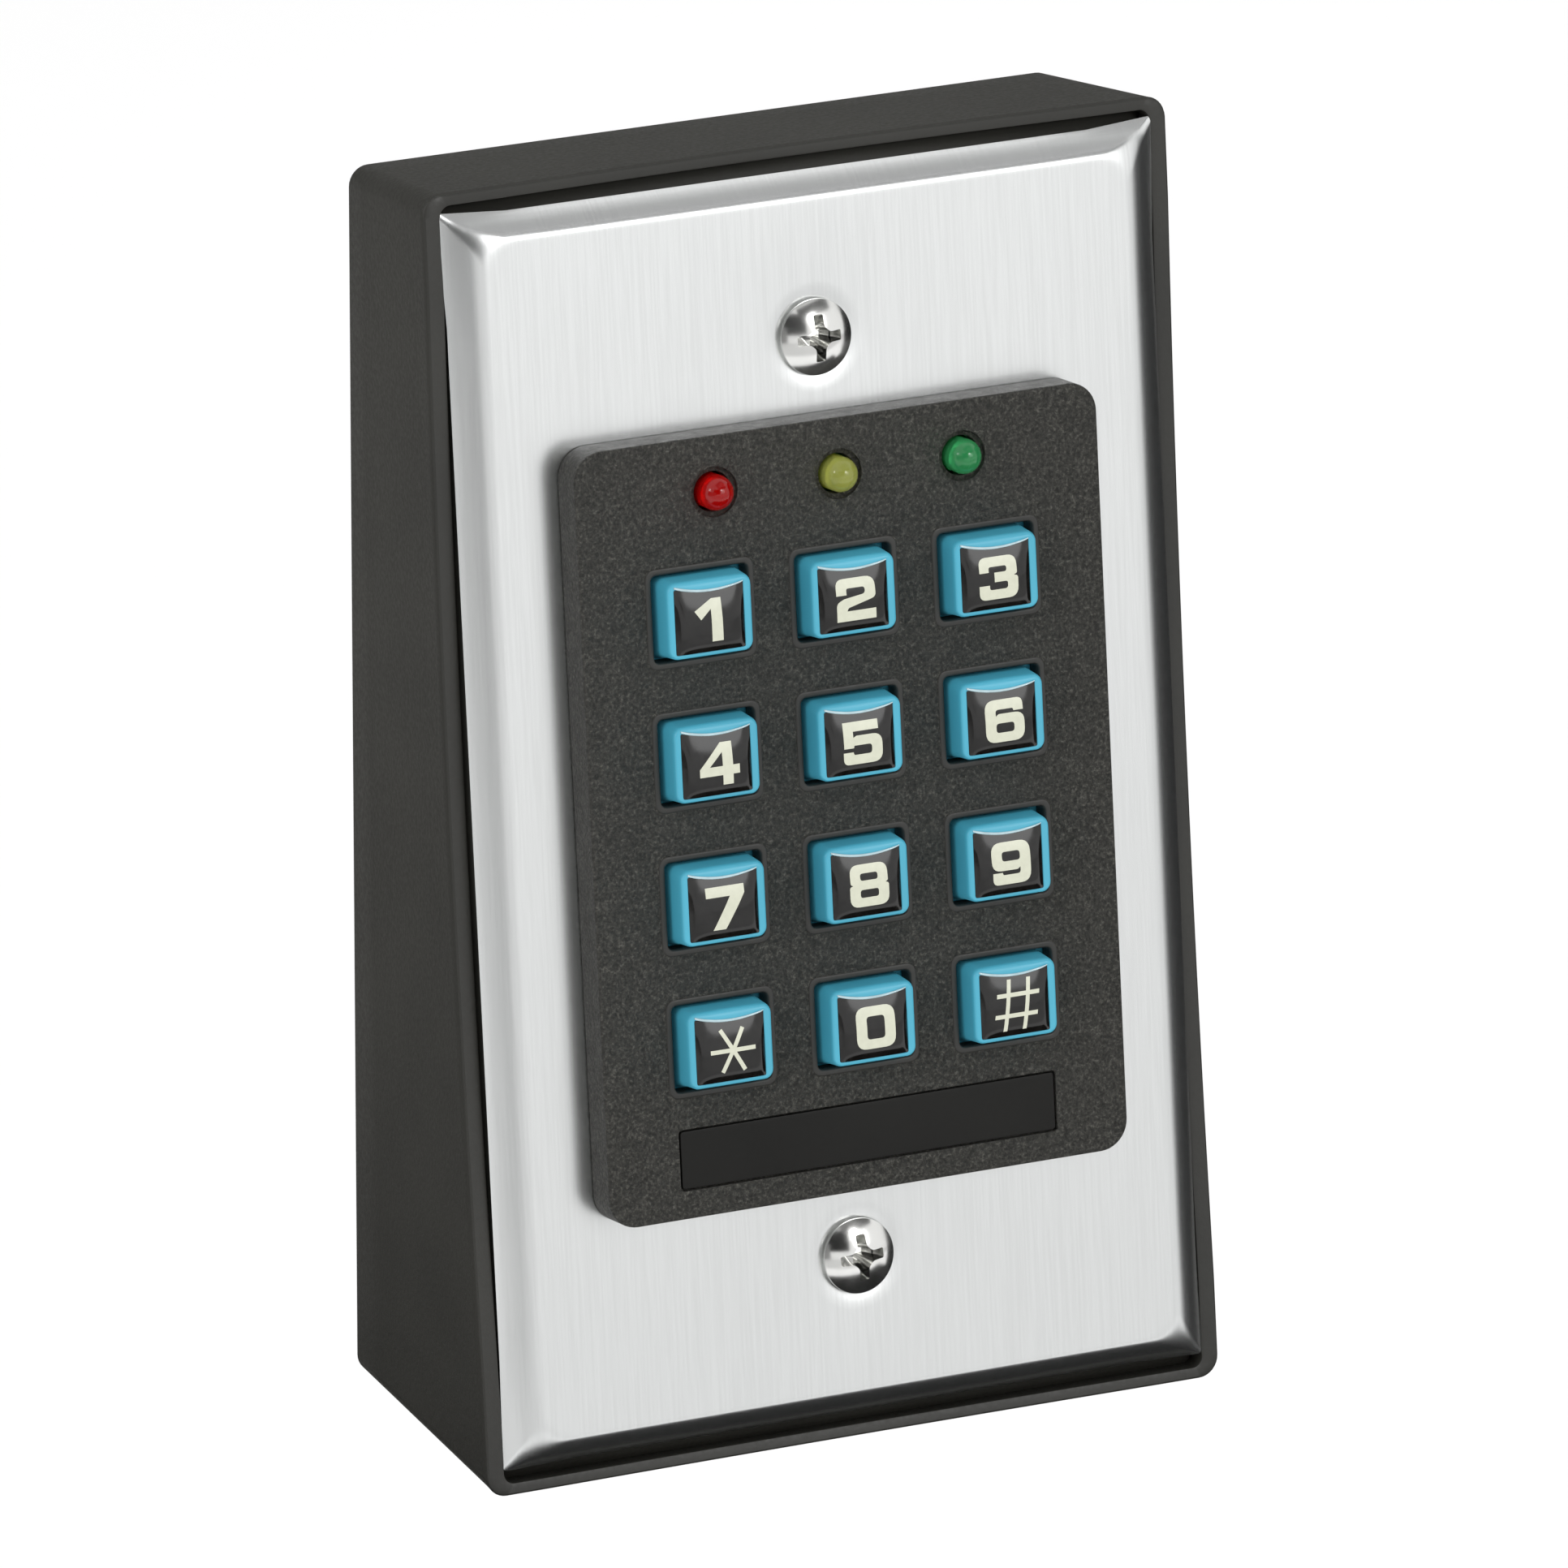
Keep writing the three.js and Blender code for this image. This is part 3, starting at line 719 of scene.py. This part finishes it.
def keypad_bezel():
    low, high = size_of("keypad_bezel")
    middle = (low + high) / 2
    width, height = high.x - low.x, high.y - low.y
    face = high.z
    over, under = face + 1, -1  # cuts start clear of the face and of the back
    key_places = [middle_of(f"keycap_{key}") for key in KEYS]
    lamp_places = [middle_of(f"lamp_{lamp}") for lamp in LAMPS]
    lamp_low, lamp_high = size_of("lamp_red")
    lamp_hole = (lamp_high.x - lamp_low.x) / 2 + LAMP_HOLE_GAP
    outlines = [moved(outline(width, height, HOUSING_CORNER, 10), middle)]
    outlines += [moved(outline(*FRAME_SEAT), place.xy + HOLE_SHIFT) for place in key_places]
    outlines += [moved(circle(lamp_hole, 40), place) for place in lamp_places]
    bezel = mesh_object("keypad_housing", filled(outlines, HOUSING_BACK, face, HOUSING_EDGE, 3))
    recess = moved(outline(*LABEL_RECESS, 4), middle_of("nameplate"))
    cutters = [filled([recess], face - LABEL_DEPTH, over)]
    ring_radius, ring_depth = LAMP_RING
    for place in lamp_places:
        cutters.append(filled([moved(circle(ring_radius, 40), place)], face - ring_depth, over))
    cutters.append(filled([window()], under, face - SHELL))
    bore_radius, bore_depth = SCREW_BORE
    for corner in range(1, 5):
        place = middle_of(f"bezel_screw_{corner}")
        cutters.append(filled([moved(circle(bore_radius, 24), place)], under, bore_depth))
    combine(bezel, merged(*cutters), "DIFFERENCE")
    finish_piece(bezel, bezel_finish(), ["keypad_bezel"], angle=30)


def key_frames():
    """Smooth raised frames round the key openings, with their inner edges rolled down into them."""
    face = size_of("keypad_bezel")[1].z
    material = key_frame_finish()
    for key in KEYS:
        place = middle_of(f"keycap_{key}").xy + HOLE_SHIFT
        steps = [
            # up the opening
            (KEY_HOLE, FRAME_BACK),
            (KEY_HOLE, face - 0.55),
            (KEY_HOLE, face - 0.2),
            # over the raised frame
            (grown(KEY_HOLE, 0.1), face),
            (grown(KEY_HOLE, 0.28), face + FRAME_RISE * 0.85),
            (grown(KEY_HOLE, 0.45), face + FRAME_RISE),
            (grown(KEY_FRAME, -0.3), face + FRAME_RISE),
            (grown(KEY_FRAME, -0.12), face + FRAME_RISE * 0.8),
            (KEY_FRAME, face + FRAME_RISE * 0.3),
            # and back down its outside
            (KEY_FRAME, face - 0.12),
            (grown(KEY_FRAME, -0.5), face - 0.14),
            (grown(KEY_FRAME, -0.5), FRAME_BACK),
        ]
        bm = bmesh.new()
        rings = [at_height(outline(*shape, 6, 2), w, place) for shape, w in steps]
        made = loft(bm, rings, closed=False)
        first, last = made[0], made[-1]
        for index in range(len(first)):
            following = (index + 1) % len(first)
            bm.faces.new((last[index], last[following], first[following], first[index]))
        ring = mesh_object(f"key_frame_{key}", bm)
        finish_piece(ring, material, angle=50)


def grown(shape, by):
    """A (width, height, corner radius) outline made larger all round."""
    width, height, radius = shape
    return width + by, height + by, radius + by / 2


def nameplate():
    low, high = size_of("nameplate")
    middle = (low + high) / 2
    shape = moved(outline(high.x - low.x, high.y - low.y, LABEL_CORNER, 4), middle)
    strip = filled([shape], low.z - LABEL_SINK, high.z, LABEL_EDGE)
    label = mesh_object("nameplate_label", strip)
    finish_piece(label, label_finish(), ["nameplate"], angle=30)


# ---------------------------------------------------------------- keys

CAP_RINGS = [
    # width, height, corner radius, shift up, w
    # plunger and flange
    (3.0, 3.0, 1.48, 0, -0.8), (3.0, 3.0, 1.48, 0, 0.7), (10.8, 9.8, 0.8, 0, 0.7),
    (11.0, 10.0, 0.8, 0, 0.85), (11.0, 10.0, 0.8, 0, 1.45), (10.8, 9.8, 0.8, 0, 1.6),
    # sides
    (8.42, 7.62, 0.8, 0.12, 1.62), (8.34, 7.10, 0.85, 0.24, 3.5), (8.28, 6.92, 0.88, 0.20, 4.9),
    # rolled top edge, down into the opening for the tile
    (8.24, 6.88, 0.88, 0.18, 5.15), (8.14, 6.78, 0.85, 0.17, 5.33), (7.98, 6.62, 0.78, 0.16, 5.44),
    (7.72, 6.42, 0.60, 0.14, 5.50), (7.30, 6.22, 0.40, 0.13, 5.52), (6.84, 5.96, 0.22, 0.12, 5.52),
    (6.76, 5.88, 0.18, 0.12, 5.47), (6.76, 5.88, 0.18, 0.12, 4.9),
]
ROLL_START = 5.1  # rings over this height follow the tile's hollow top edge
ROLL_WIDTH = 8.24  # width of the ring where they begin to
ROLL_SPAN = 1.2  # narrower than that by this much, they follow it fully
TILE = (6.74, 5.86)
TILE_SHIFT = (-0.12, 0.12)
TILE_W = 5.50  # height of the tile's edge
TILE_GRID = 28
CROWN = 0.50  # how far its middle stands over its edge
TOP_ROLL = (-0.1, 0.54)  # where it starts, as a share of the tile's half height, and its depth
BOTTOM_ROLL = 0.10
BOTTOM_FADE = 0.5  # share of the crown that is gone at the bottom edge
TILE_DIP = 0.45  # depth of the hollow in the top edge
SKIRT = 0.4
LIP_STEPS = 24
LIP_SIDES = 10
# The bead carries a painted highlight: it is thicker and reaches further past the tile's edge at the left
# end, where the highlight is brightest.
LIP_RADIUS = (0.05, 0.06, 0.05)  # at the right end, more in the middle, more at the left end
LIP_OFFSET = (0.02, 0.16)  # beyond the tile's edge, more at the left end
LIP_LIFT = 0.03


def dip_top(points, share=1.0):
    """The tile's top edge is a shallow hollow curve between its corners."""
    width, height = TILE[0] / 2, TILE[1] / 2
    placed = []
    for p in points:
        across = max(0, 1 - (p.x / width) ** 2)
        upward = max(0, p.y / height) ** 3
        placed.append(Vector((p.x, p.y - TILE_DIP * share * across * upward)))
    return placed


def keycap(key, material):
    place = middle_of(f"keycap_{key}")
    rings = []
    for width, height, radius, shift, w in CAP_RINGS:
        points = outline(width, height, radius, 6, 14)
        move = place.xy + Vector((0, shift))
        if w > ROLL_START:
            share = min(1, max(0, (ROLL_WIDTH - width) / ROLL_SPAN))
            points = dip_top(points, share)
            move.x += TILE_SHIFT[0] * share
        rings.append(at_height(points, w, move))
    bm = bmesh.new()
    loft(bm, rings)
    cap = mesh_object(f"key_{key}_cap", bm)
    finish_piece(cap, material, [f"keycap_{key}"], f"key_{key}", angle=50)


def crown_height(x, y):
    """Height of the tile's glossy face at a place on it: a soft pillow that rolls away at the top."""
    across, upward = min(1, abs(x) / (TILE[0] / 2)), y / (TILE[1] / 2)
    roll_start, roll_depth = TOP_ROLL
    roll = max(0, upward - roll_start) / (1 - roll_start)
    foot = min(1, max(0, -upward)) ** 6
    sink = roll_depth * roll**1.6 + BOTTOM_ROLL * foot
    return TILE_W + CROWN * (1 - across**6) * (1 - BOTTOM_FADE * foot) - sink * (1 - across**4)


def tile_lip(key, material):
    """A rounded bead along the hollow top edge of the face, thicker at its left end. Its pale finish is a
    painted highlight.
    """
    place = middle_of(f"keycap_{key}").xy + Vector(TILE_SHIFT)
    half = TILE[0] / 2
    thin, belly, head = LIP_RADIUS
    gap, head_gap = LIP_OFFSET
    rings = []
    for step in range(LIP_STEPS + 1):
        t = step / LIP_STEPS
        x = (t - 0.5) * 2 * half
        y = TILE[1] / 2 - TILE_DIP * (1 - (x / half) ** 2) + gap + head_gap * (1 - t) ** 3
        w = max(crown_height(x, TILE[1] / 2), TILE_W) + LIP_LIFT
        radius = thin + belly * math.sin(math.pi * t) ** 0.5 + head * (1 - t) ** 2
        section = circle(radius, LIP_SIDES)
        rings.append([Vector((place.x + x, place.y + y + p.x, w + p.y)) for p in section])
    bm = bmesh.new()
    loft(bm, rings)
    bead = mesh_object(f"key_{key}_lip", bm)
    finish_piece(bead, material, body=f"key_{key}", angle=70)


def legend_tile(key, material):
    """The dark glossy face, as a grid over the opening in the cap with a skirt down into it."""
    place = middle_of(f"keycap_{key}").xy + Vector(TILE_SHIFT)
    width, height = TILE
    bm = bmesh.new()
    rows = []
    for row in range(TILE_GRID + 1):
        y = (row / TILE_GRID - 0.5) * height
        flat = [Vector(((col / TILE_GRID - 0.5) * width, y)) for col in range(TILE_GRID + 1)]
        rows.append([bm.verts.new((*(p + place), crown_height(p.x, p.y))) for p in dip_top(flat)])
    for lower, upper in zip(rows, rows[1:]):
        for col in range(TILE_GRID):
            bm.faces.new((lower[col], lower[col + 1], upper[col + 1], upper[col]))
    edge = [e for e in bm.edges if e.is_boundary]
    skirt = bmesh.ops.extrude_edge_only(bm, edges=edge)["geom"]
    for vert in skirt:
        if isinstance(vert, bmesh.types.BMVert):
            vert.co.z = TILE_W - SKIRT
    bmesh.ops.holes_fill(bm, edges=[e for e in bm.edges if e.is_boundary])
    tile = mesh_object(f"key_{key}_tile", bm)
    finish_piece(tile, material, [f"legend_{key}"], f"key_{key}", angle=50)


def mirrored(points, x=1, y=1):
    """The points turned over where x or y is -1. Corner radii stay."""
    return [(p[0] * x, p[1] * y, *p[2:]) for p in points]


def half_turn(loops):
    """A figure turned upside down."""
    return [mirrored(loop, -1, -1) for loop in loops]


# Outlines of the figures, as (x, y) or (x, y, radius) corners about the middle of a tile.
W, H = 1.92, 1.9
SIX = [
    [(-W, -H, 1.0), (W, -H, 1.0), (W, 0.64, 0.9), (-0.6, 0.64, 0.25), (-0.88, 0.44), (-0.88, 1.03, 0.3),
     (0.84, 1.03, 0.2), (0.9, 0.8), (1.84, 0.8), (1.84, H, 0.95), (-W, H, 1.0)],
    [(-0.88, -1.05, 0.3), (0.9, -1.05, 0.3), (0.9, -0.2, 0.3), (-0.88, -0.2, 0.3)],
]
HASH_CORNER = [
    (1.15, 0.74), (2.1, 0.74), (2.1, 1.12), (1.15, 1.12), (1.15, 2.3), (0.77, 2.3), (0.77, 1.12),
]
HASH_HOLE = [(0.77, 0.74), (-0.77, 0.74), (-0.77, -0.74), (0.77, -0.74)]
HASH_SLANT = 0.15
STAR_ARMS = 6
STAR_REACH = 2.2
STAR_HALF = 0.19


def hash_loops():
    """Two upright and two level bars, leaning a little to the right."""
    corner = HASH_CORNER
    back = corner[::-1]
    loop = corner + mirrored(back, x=-1) + mirrored(corner, -1, -1) + mirrored(back, y=-1)
    return [[(x + HASH_SLANT * y, y) for x, y in points] for points in (loop, HASH_HOLE)]


def star_loops():
    """A star of straight arms that meet in the middle."""
    throat = STAR_HALF / math.sin(math.pi / STAR_ARMS)
    loop = []
    for arm in range(STAR_ARMS):
        spin = Matrix.Rotation(2 * math.pi * arm / STAR_ARMS, 2)
        half_spin = Matrix.Rotation(2 * math.pi * (arm + 0.5) / STAR_ARMS, 2)
        loop += [tuple(spin @ Vector((STAR_REACH, side))) for side in (-STAR_HALF, STAR_HALF)]
        loop.append(tuple(half_spin @ Vector((throat, 0))))
    return [loop]


LEGENDS = {
    "1": [[(0.02, 1.95), (0.95, 1.95), (0.98, -1.88), (-0.10, -1.88), (-0.10, 1.05), (-1.12, 0.16),
           (-1.70, 0.98)]],
    "2": [[(-W, -H), (W, -H), (W, -1.0), (-0.92, -1.0), (-0.8, -0.72, 0.3), (1.2, -0.2, 0.5), (W, 0.0, 0.7),
           (W, H, 0.95), (-W, H, 0.9), (-W, 0.45), (-0.92, 0.45), (-0.92, 1.03, 0.2), (0.9, 1.03, 0.3),
           (0.9, 0.42, 0.4), (-1.2, 0.12, 0.5), (-W, -0.2, 0.7)]],
    "3": [[(-W, -H, 0.95), (W, -H, 0.95), (W, 0.0, 0.5), (1.45, 0.1, 0.05), (1.84, 0.2, 0.4),
           (1.84, H, 0.9), (-1.86, H, 0.9), (-1.86, 0.55), (-0.94, 0.55), (-0.94, 1.03, 0.2),
           (0.82, 1.03, 0.25), (0.82, 0.5, 0.25), (-0.4, 0.5), (-0.4, -0.36), (0.9, -0.36, 0.25),
           (0.9, -1.03, 0.3), (-0.9, -1.03, 0.3), (-0.9, -0.6), (-W, -0.6)]],
    "4": [[(-1.95, -1.02), (-1.95, -0.3), (0.2, H), (1.3, H), (1.3, -0.2), (1.95, -0.2), (1.95, -1.02),
           (1.3, -1.02), (1.3, -H), (0.3, -H), (0.3, -1.02)],
          [(-0.98, -0.2), (0.3, -0.2), (0.3, 1.05)]],
    "5": [[(-1.85, H), (-1.85, -0.42), (-0.9, -0.42), (-0.86, -0.2, 0.1), (0.88, -0.2, 0.3),
           (0.88, -1.04, 0.3), (-0.9, -1.04, 0.2), (-0.95, -0.78), (-W, -0.78), (-W, -H, 0.9),
           (W, -H, 0.95), (W, 0.66, 0.9), (-0.6, 0.66, 0.2), (-0.9, 0.5), (-0.9, 1.05), (1.6, 1.05),
           (1.6, H)]],
    "6": SIX,
    "7": [[(-W, H), (-W, 0.98), (0.42, 0.98), (-1.36, -1.95), (-0.12, -1.95), (1.85, 1.12), (1.85, H)]],
    "8": [[(-W, -H, 0.9), (W, -H, 0.9), (W, 0.0, 0.5), (1.55, 0.1, 0.05), (1.84, 0.2, 0.4), (1.84, H, 0.9),
           (-1.84, H, 0.9), (-1.84, 0.2, 0.4), (-1.55, 0.1, 0.05), (-W, 0.0, 0.5)],
          [(-0.86, 0.46, 0.25), (0.86, 0.46, 0.25), (0.86, 1.1, 0.25), (-0.86, 1.1, 0.25)],
          [(-0.9, -1.08, 0.25), (0.9, -1.08, 0.25), (0.9, -0.36, 0.25), (-0.9, -0.36, 0.25)]],
    "9": half_turn(SIX),
    "0": [[(-W, -H, 1.0), (W, -H, 1.0), (W, H, 1.0), (-W, H, 1.0)],
          [(-0.88, -1.03, 0.35), (0.88, -1.03, 0.35), (0.88, 1.03, 0.35), (-0.88, 1.03, 0.35)]],
    "star": star_loops(),
    "hash": hash_loops(),
}
LEGEND_SHIFT = (0.05, -0.12)
LEGEND_LIFT = 0.012
LEGEND_HALF = 0.01  # half the thickness of the print
LEGEND_CUT = 0.35  # the print is cut up this finely, so that it follows the crown
LEGEND_CUTS = 6


def legend(key, material):
    """The printed figure, laid over the crown of its tile."""
    place = middle_of(f"keycap_{key}")
    loops = [rounded_polygon(loop) for loop in LEGENDS[key]]
    bm = filled([moved(loop, LEGEND_SHIFT) for loop in loops], -LEGEND_HALF, LEGEND_HALF)
    for axis in (Vector((1, 0, 0)), Vector((0, 1, 0))):
        for step in range(-LEGEND_CUTS, LEGEND_CUTS + 1):
            geometry = bm.verts[:] + bm.edges[:] + bm.faces[:]
            cut = axis * step * LEGEND_CUT
            bmesh.ops.bisect_plane(bm, geom=geometry, plane_co=cut, plane_no=axis)
    for vert in bm.verts:
        vert.co.z += crown_height(vert.co.x, vert.co.y) + LEGEND_LIFT
        vert.co.xy += place.xy + Vector(TILE_SHIFT)
    figure = mesh_object(f"key_{key}_figure", bm)
    finish_piece(figure, material, body=f"key_{key}", angle=60)


# ---------------------------------------------------------------- lamps and the inside

LAMP_STAND = 0.3  # the lens stands this much further out than its solid
LAMP_TRIM = 0.12  # and is this much smaller in radius
LAMP_FOOT = [(0.9, -0.5), (1, -0.4)]  # share of the radius, height
DOME_STEPS = 14
TIP_RADIUS = 0.02
LEAD_SIDE = 0.5
LEAD_PLACE = 0.9
LEAD_TOP = -0.45
SOFT_EDGE = 0.12  # bevel on the parts inside


def lamp(name, color):
    """A round-topped lens with its two leads."""
    node = f"lamp_{name}"
    low, high = size_of(node)
    middle = (low + high) / 2
    radius = (high.x - low.x) / 2 - LAMP_TRIM
    dome_w = high.z - radius + LAMP_STAND
    profile = [(radius * share, w) for share, w in LAMP_FOOT]
    for step in range(DOME_STEPS):
        angle = step / DOME_STEPS * math.pi / 2
        profile.append((radius * math.cos(angle), dome_w + radius * math.sin(angle)))
    profile.append((TIP_RADIUS, dome_w + radius))
    bm = bmesh.new()
    turned(bm, profile, 48, middle.xy)
    for side in (-LEAD_PLACE, LEAD_PLACE):
        section = moved(outline(LEAD_SIDE, LEAD_SIDE, 0.1, 2), (middle.x + side, middle.y))
        loft(bm, [at_height(section, w) for w in (low.z, LEAD_TOP)])
    lens = mesh_object(f"{node}_lens", bm)
    finish_piece(lens, lamp_finish(name, color), [node], angle=40)


INSIDE = {
    # finish: colour, roughness, metallic, nodes
    "silicone_rubber": ((0.42, 0.41, 0.37), 0.75, 0.0, ["dome_mat"]),
    "board_laminate": ((0.020, 0.120, 0.045), 0.4, 0.0, ["circuit_board"]),
    "zinc_steel": ((0.60, 0.61, 0.62), 0.35, 1.0, [f"bezel_screw_{i}" for i in range(1, 5)]),
    "nylon": ((0.72, 0.71, 0.65), 0.55, 0.0, [f"board_spacer_{i}" for i in range(1, 5)]),
    "relay_case": ((0.015, 0.045, 0.190), 0.3, 0.0, ["relay", "capacitor"]),
    "terminal_plastic": ((0.025, 0.180, 0.070), 0.45, 0.0, ["terminal_block"]),
    "chip_plastic": ((0.014, 0.014, 0.014), 0.5, 0.0, ["controller_chip", "regulator", "buzzer"]),
}


def inside():
    """The board and what is on it keep their own solids, with softened edges and their finishes."""
    for name, (color, roughness, metallic, nodes) in INSIDE.items():
        made = Finish(name, color, roughness, metallic)
        grain = made.noise(1500, detail=3)
        made.vary_color(made.noise(200), 0.12).vary_roughness(grain, 0.06).add_bump(grain, 0.00001)
        for node in nodes:
            part = frame["nodes"][node]
            edge = part.modifiers.new("edge", "BEVEL")
            edge.width = SOFT_EDGE * MM
            edge.segments = 2
            edge.limit_method = "ANGLE"
            part.data.materials.clear()
            part.data.materials.append(made.material)


# ---------------------------------------------------------------- studio, in metres

FLOOR_DROP = 0.16
PANEL_SHEET = 0.002
BLACK = (0.004, 0.004, 0.004)
CAMERA_AZIMUTH = -26.6  # degrees round from the front
CAMERA_ELEVATION = 17.9
CAMERA_DISTANCE = 1.72
CAMERA_LENS = 440.8
CAMERA_AIM = (0.0072, -0.0060)  # across and up from the origin


def panel(name, centre, normal, size, color, seen=False):
    """A flat stage panel. An unseen one only shapes what the shiny surfaces mirror."""
    bm = bmesh.new()
    loft(bm, [at_height(outline(*size, min(size) * 0.05, 4), w) for w in (-PANEL_SHEET, 0)])
    turn = Vector(normal).to_track_quat("Z", "Y").to_matrix().to_4x4()
    made = mesh_object(name, bm, Matrix.Translation(Vector(centre)) @ turn)
    sheet = Finish(name, color, 0.9)
    sheet.vary_color(sheet.noise(3), 0.01)
    made.data.materials.append(sheet.material)
    if not seen:
        made.visible_camera = False
        made.visible_diffuse = False
        made.visible_transmission = False
        made.visible_shadow = False


def direction(azimuth, elevation):
    """From the object towards a place, by its angles in degrees round from the front and up."""
    a, e = math.radians(azimuth), math.radians(elevation)
    return Vector((math.sin(a) * math.cos(e), -math.cos(a) * math.cos(e), math.sin(e)))


def facing_panel(name, azimuth, elevation, distance, size, color):
    """A panel that faces the object from a direction."""
    way = direction(azimuth, elevation)
    panel(name, way * distance, -way, size, color)


def softbox(name, azimuth, elevation, distance, size, brightness):
    """A rectangular light that faces the object with the given radiance."""
    data = bpy.data.lights.new(name, "AREA")
    data.shape = "RECTANGLE"
    data.size, data.size_y = size
    data.energy = brightness * math.pi * size[0] * size[1]
    light = bpy.data.objects.new(name, data)
    bpy.context.scene.collection.objects.link(light)
    light.location = direction(azimuth, elevation) * distance
    light.rotation_euler = (-light.location).to_track_quat("-Z", "Y").to_euler()


def studio():
    floor_z = cad_bounds[0].z - FLOOR_DROP
    panel("floor", (0, 0, floor_z), (0, 0, 1), (12, 12), (0.97, 0.97, 0.97), seen=True)
    panel("flag_below", (0.08, -0.05, floor_z + 0.02), (0, 0, 1), (0.50, 0.42), BLACK)
    panel("flag_side", (-0.22, 0.20, floor_z + 0.015), (0, 0, 1), (0.40, 0.52), BLACK)
    panel("flag_right", (0.34, 0.10, -0.02), (-1, 0, 0), (0.5, 0.5), BLACK)
    panel("card_front", (0.4, -1.0, floor_z + 0.01), (0, 0, 1), (2.4, 1.1), (0.60, 0.60, 0.60))
    panel("card_side", (-0.6, 0.55, floor_z + 0.01), (0, 0, 1), (1.4, 1.0), (0.34, 0.335, 0.32))
    panel("card_behind", (0, 1.1, 0.5), (0, -1, 0), (3.6, 2.4), (0.22, 0.22, 0.21))
    facing_panel("flag_camera", -17, 20, 1.9, (1.30, 1.05), BLACK)
    facing_panel("card_left", -50, -4, 1.6, (1.5, 1.3), (0.22, 0.22, 0.22))
    facing_panel("card_over_low", 25, 38, 1.5, (1.4, 0.38), (0.10, 0.10, 0.10))
    facing_panel("card_over_high", 25, 62, 1.5, (1.5, 0.80), (0.38, 0.38, 0.38))
    softbox("softbox_front", 24, 18, 1.6, (0.70, 0.48), 2.3)
    softbox("softbox_right", 16, 27, 1.5, (0.28, 0.28), 10)
    softbox("softbox_left", -68, 28, 1.6, (0.28, 0.28), 10)
    world = bpy.data.worlds.new("studio")
    world.use_nodes = True
    background = world.node_tree.nodes["Background"]
    background.inputs["Color"].default_value = (1, 1, 1, 1)
    background.inputs["Strength"].default_value = 1.0
    bpy.context.scene.world = world
    bpy.context.scene.view_settings.view_transform = "Standard"


def camera():
    """A long lens, level with the horizon from side to side."""
    turn = math.radians(CAMERA_AZIMUTH)
    back = direction(CAMERA_AZIMUTH, CAMERA_ELEVATION)
    across = Vector((math.cos(turn), math.sin(turn), 0))
    upward = back.cross(across)
    data = bpy.data.cameras.new("camera")
    data.lens = CAMERA_LENS
    data.sensor_width = 36
    data.clip_start = 0.1
    data.clip_end = 50
    made = bpy.data.objects.new("camera", data)
    bpy.context.scene.collection.objects.link(made)
    made.location = back * CAMERA_DISTANCE + across * CAMERA_AIM[0] + upward * CAMERA_AIM[1]
    made.rotation_euler = Matrix((across, upward, back)).transposed().to_euler()
    bpy.context.scene.camera = made


# ---------------------------------------------------------------- assembly

nickel = nickel_finish()
surface_box()
cover_plate()
plate_screw("plate_screw_top", math.radians(2))
plate_screw("plate_screw_bottom", math.radians(4))
keypad_bezel()
key_frames()
nameplate()
cap_plastic = keycap_finish()
lip_painted_highlight = lip_highlight_finish()
tile_gloss = tile_finish()
ink = legend_finish()
for name in KEYS:
    keycap(name, cap_plastic)
    legend_tile(name, tile_gloss)
    # the lip bead's pale finish is a painted highlight
    tile_lip(name, lip_painted_highlight)
    legend(name, ink)
lamp("red", (0.95, 0.004, 0.003))
lamp("yellow", (0.82, 0.87, 0.20))
lamp("green", (0.09, 0.70, 0.24))
inside()
studio()
camera()
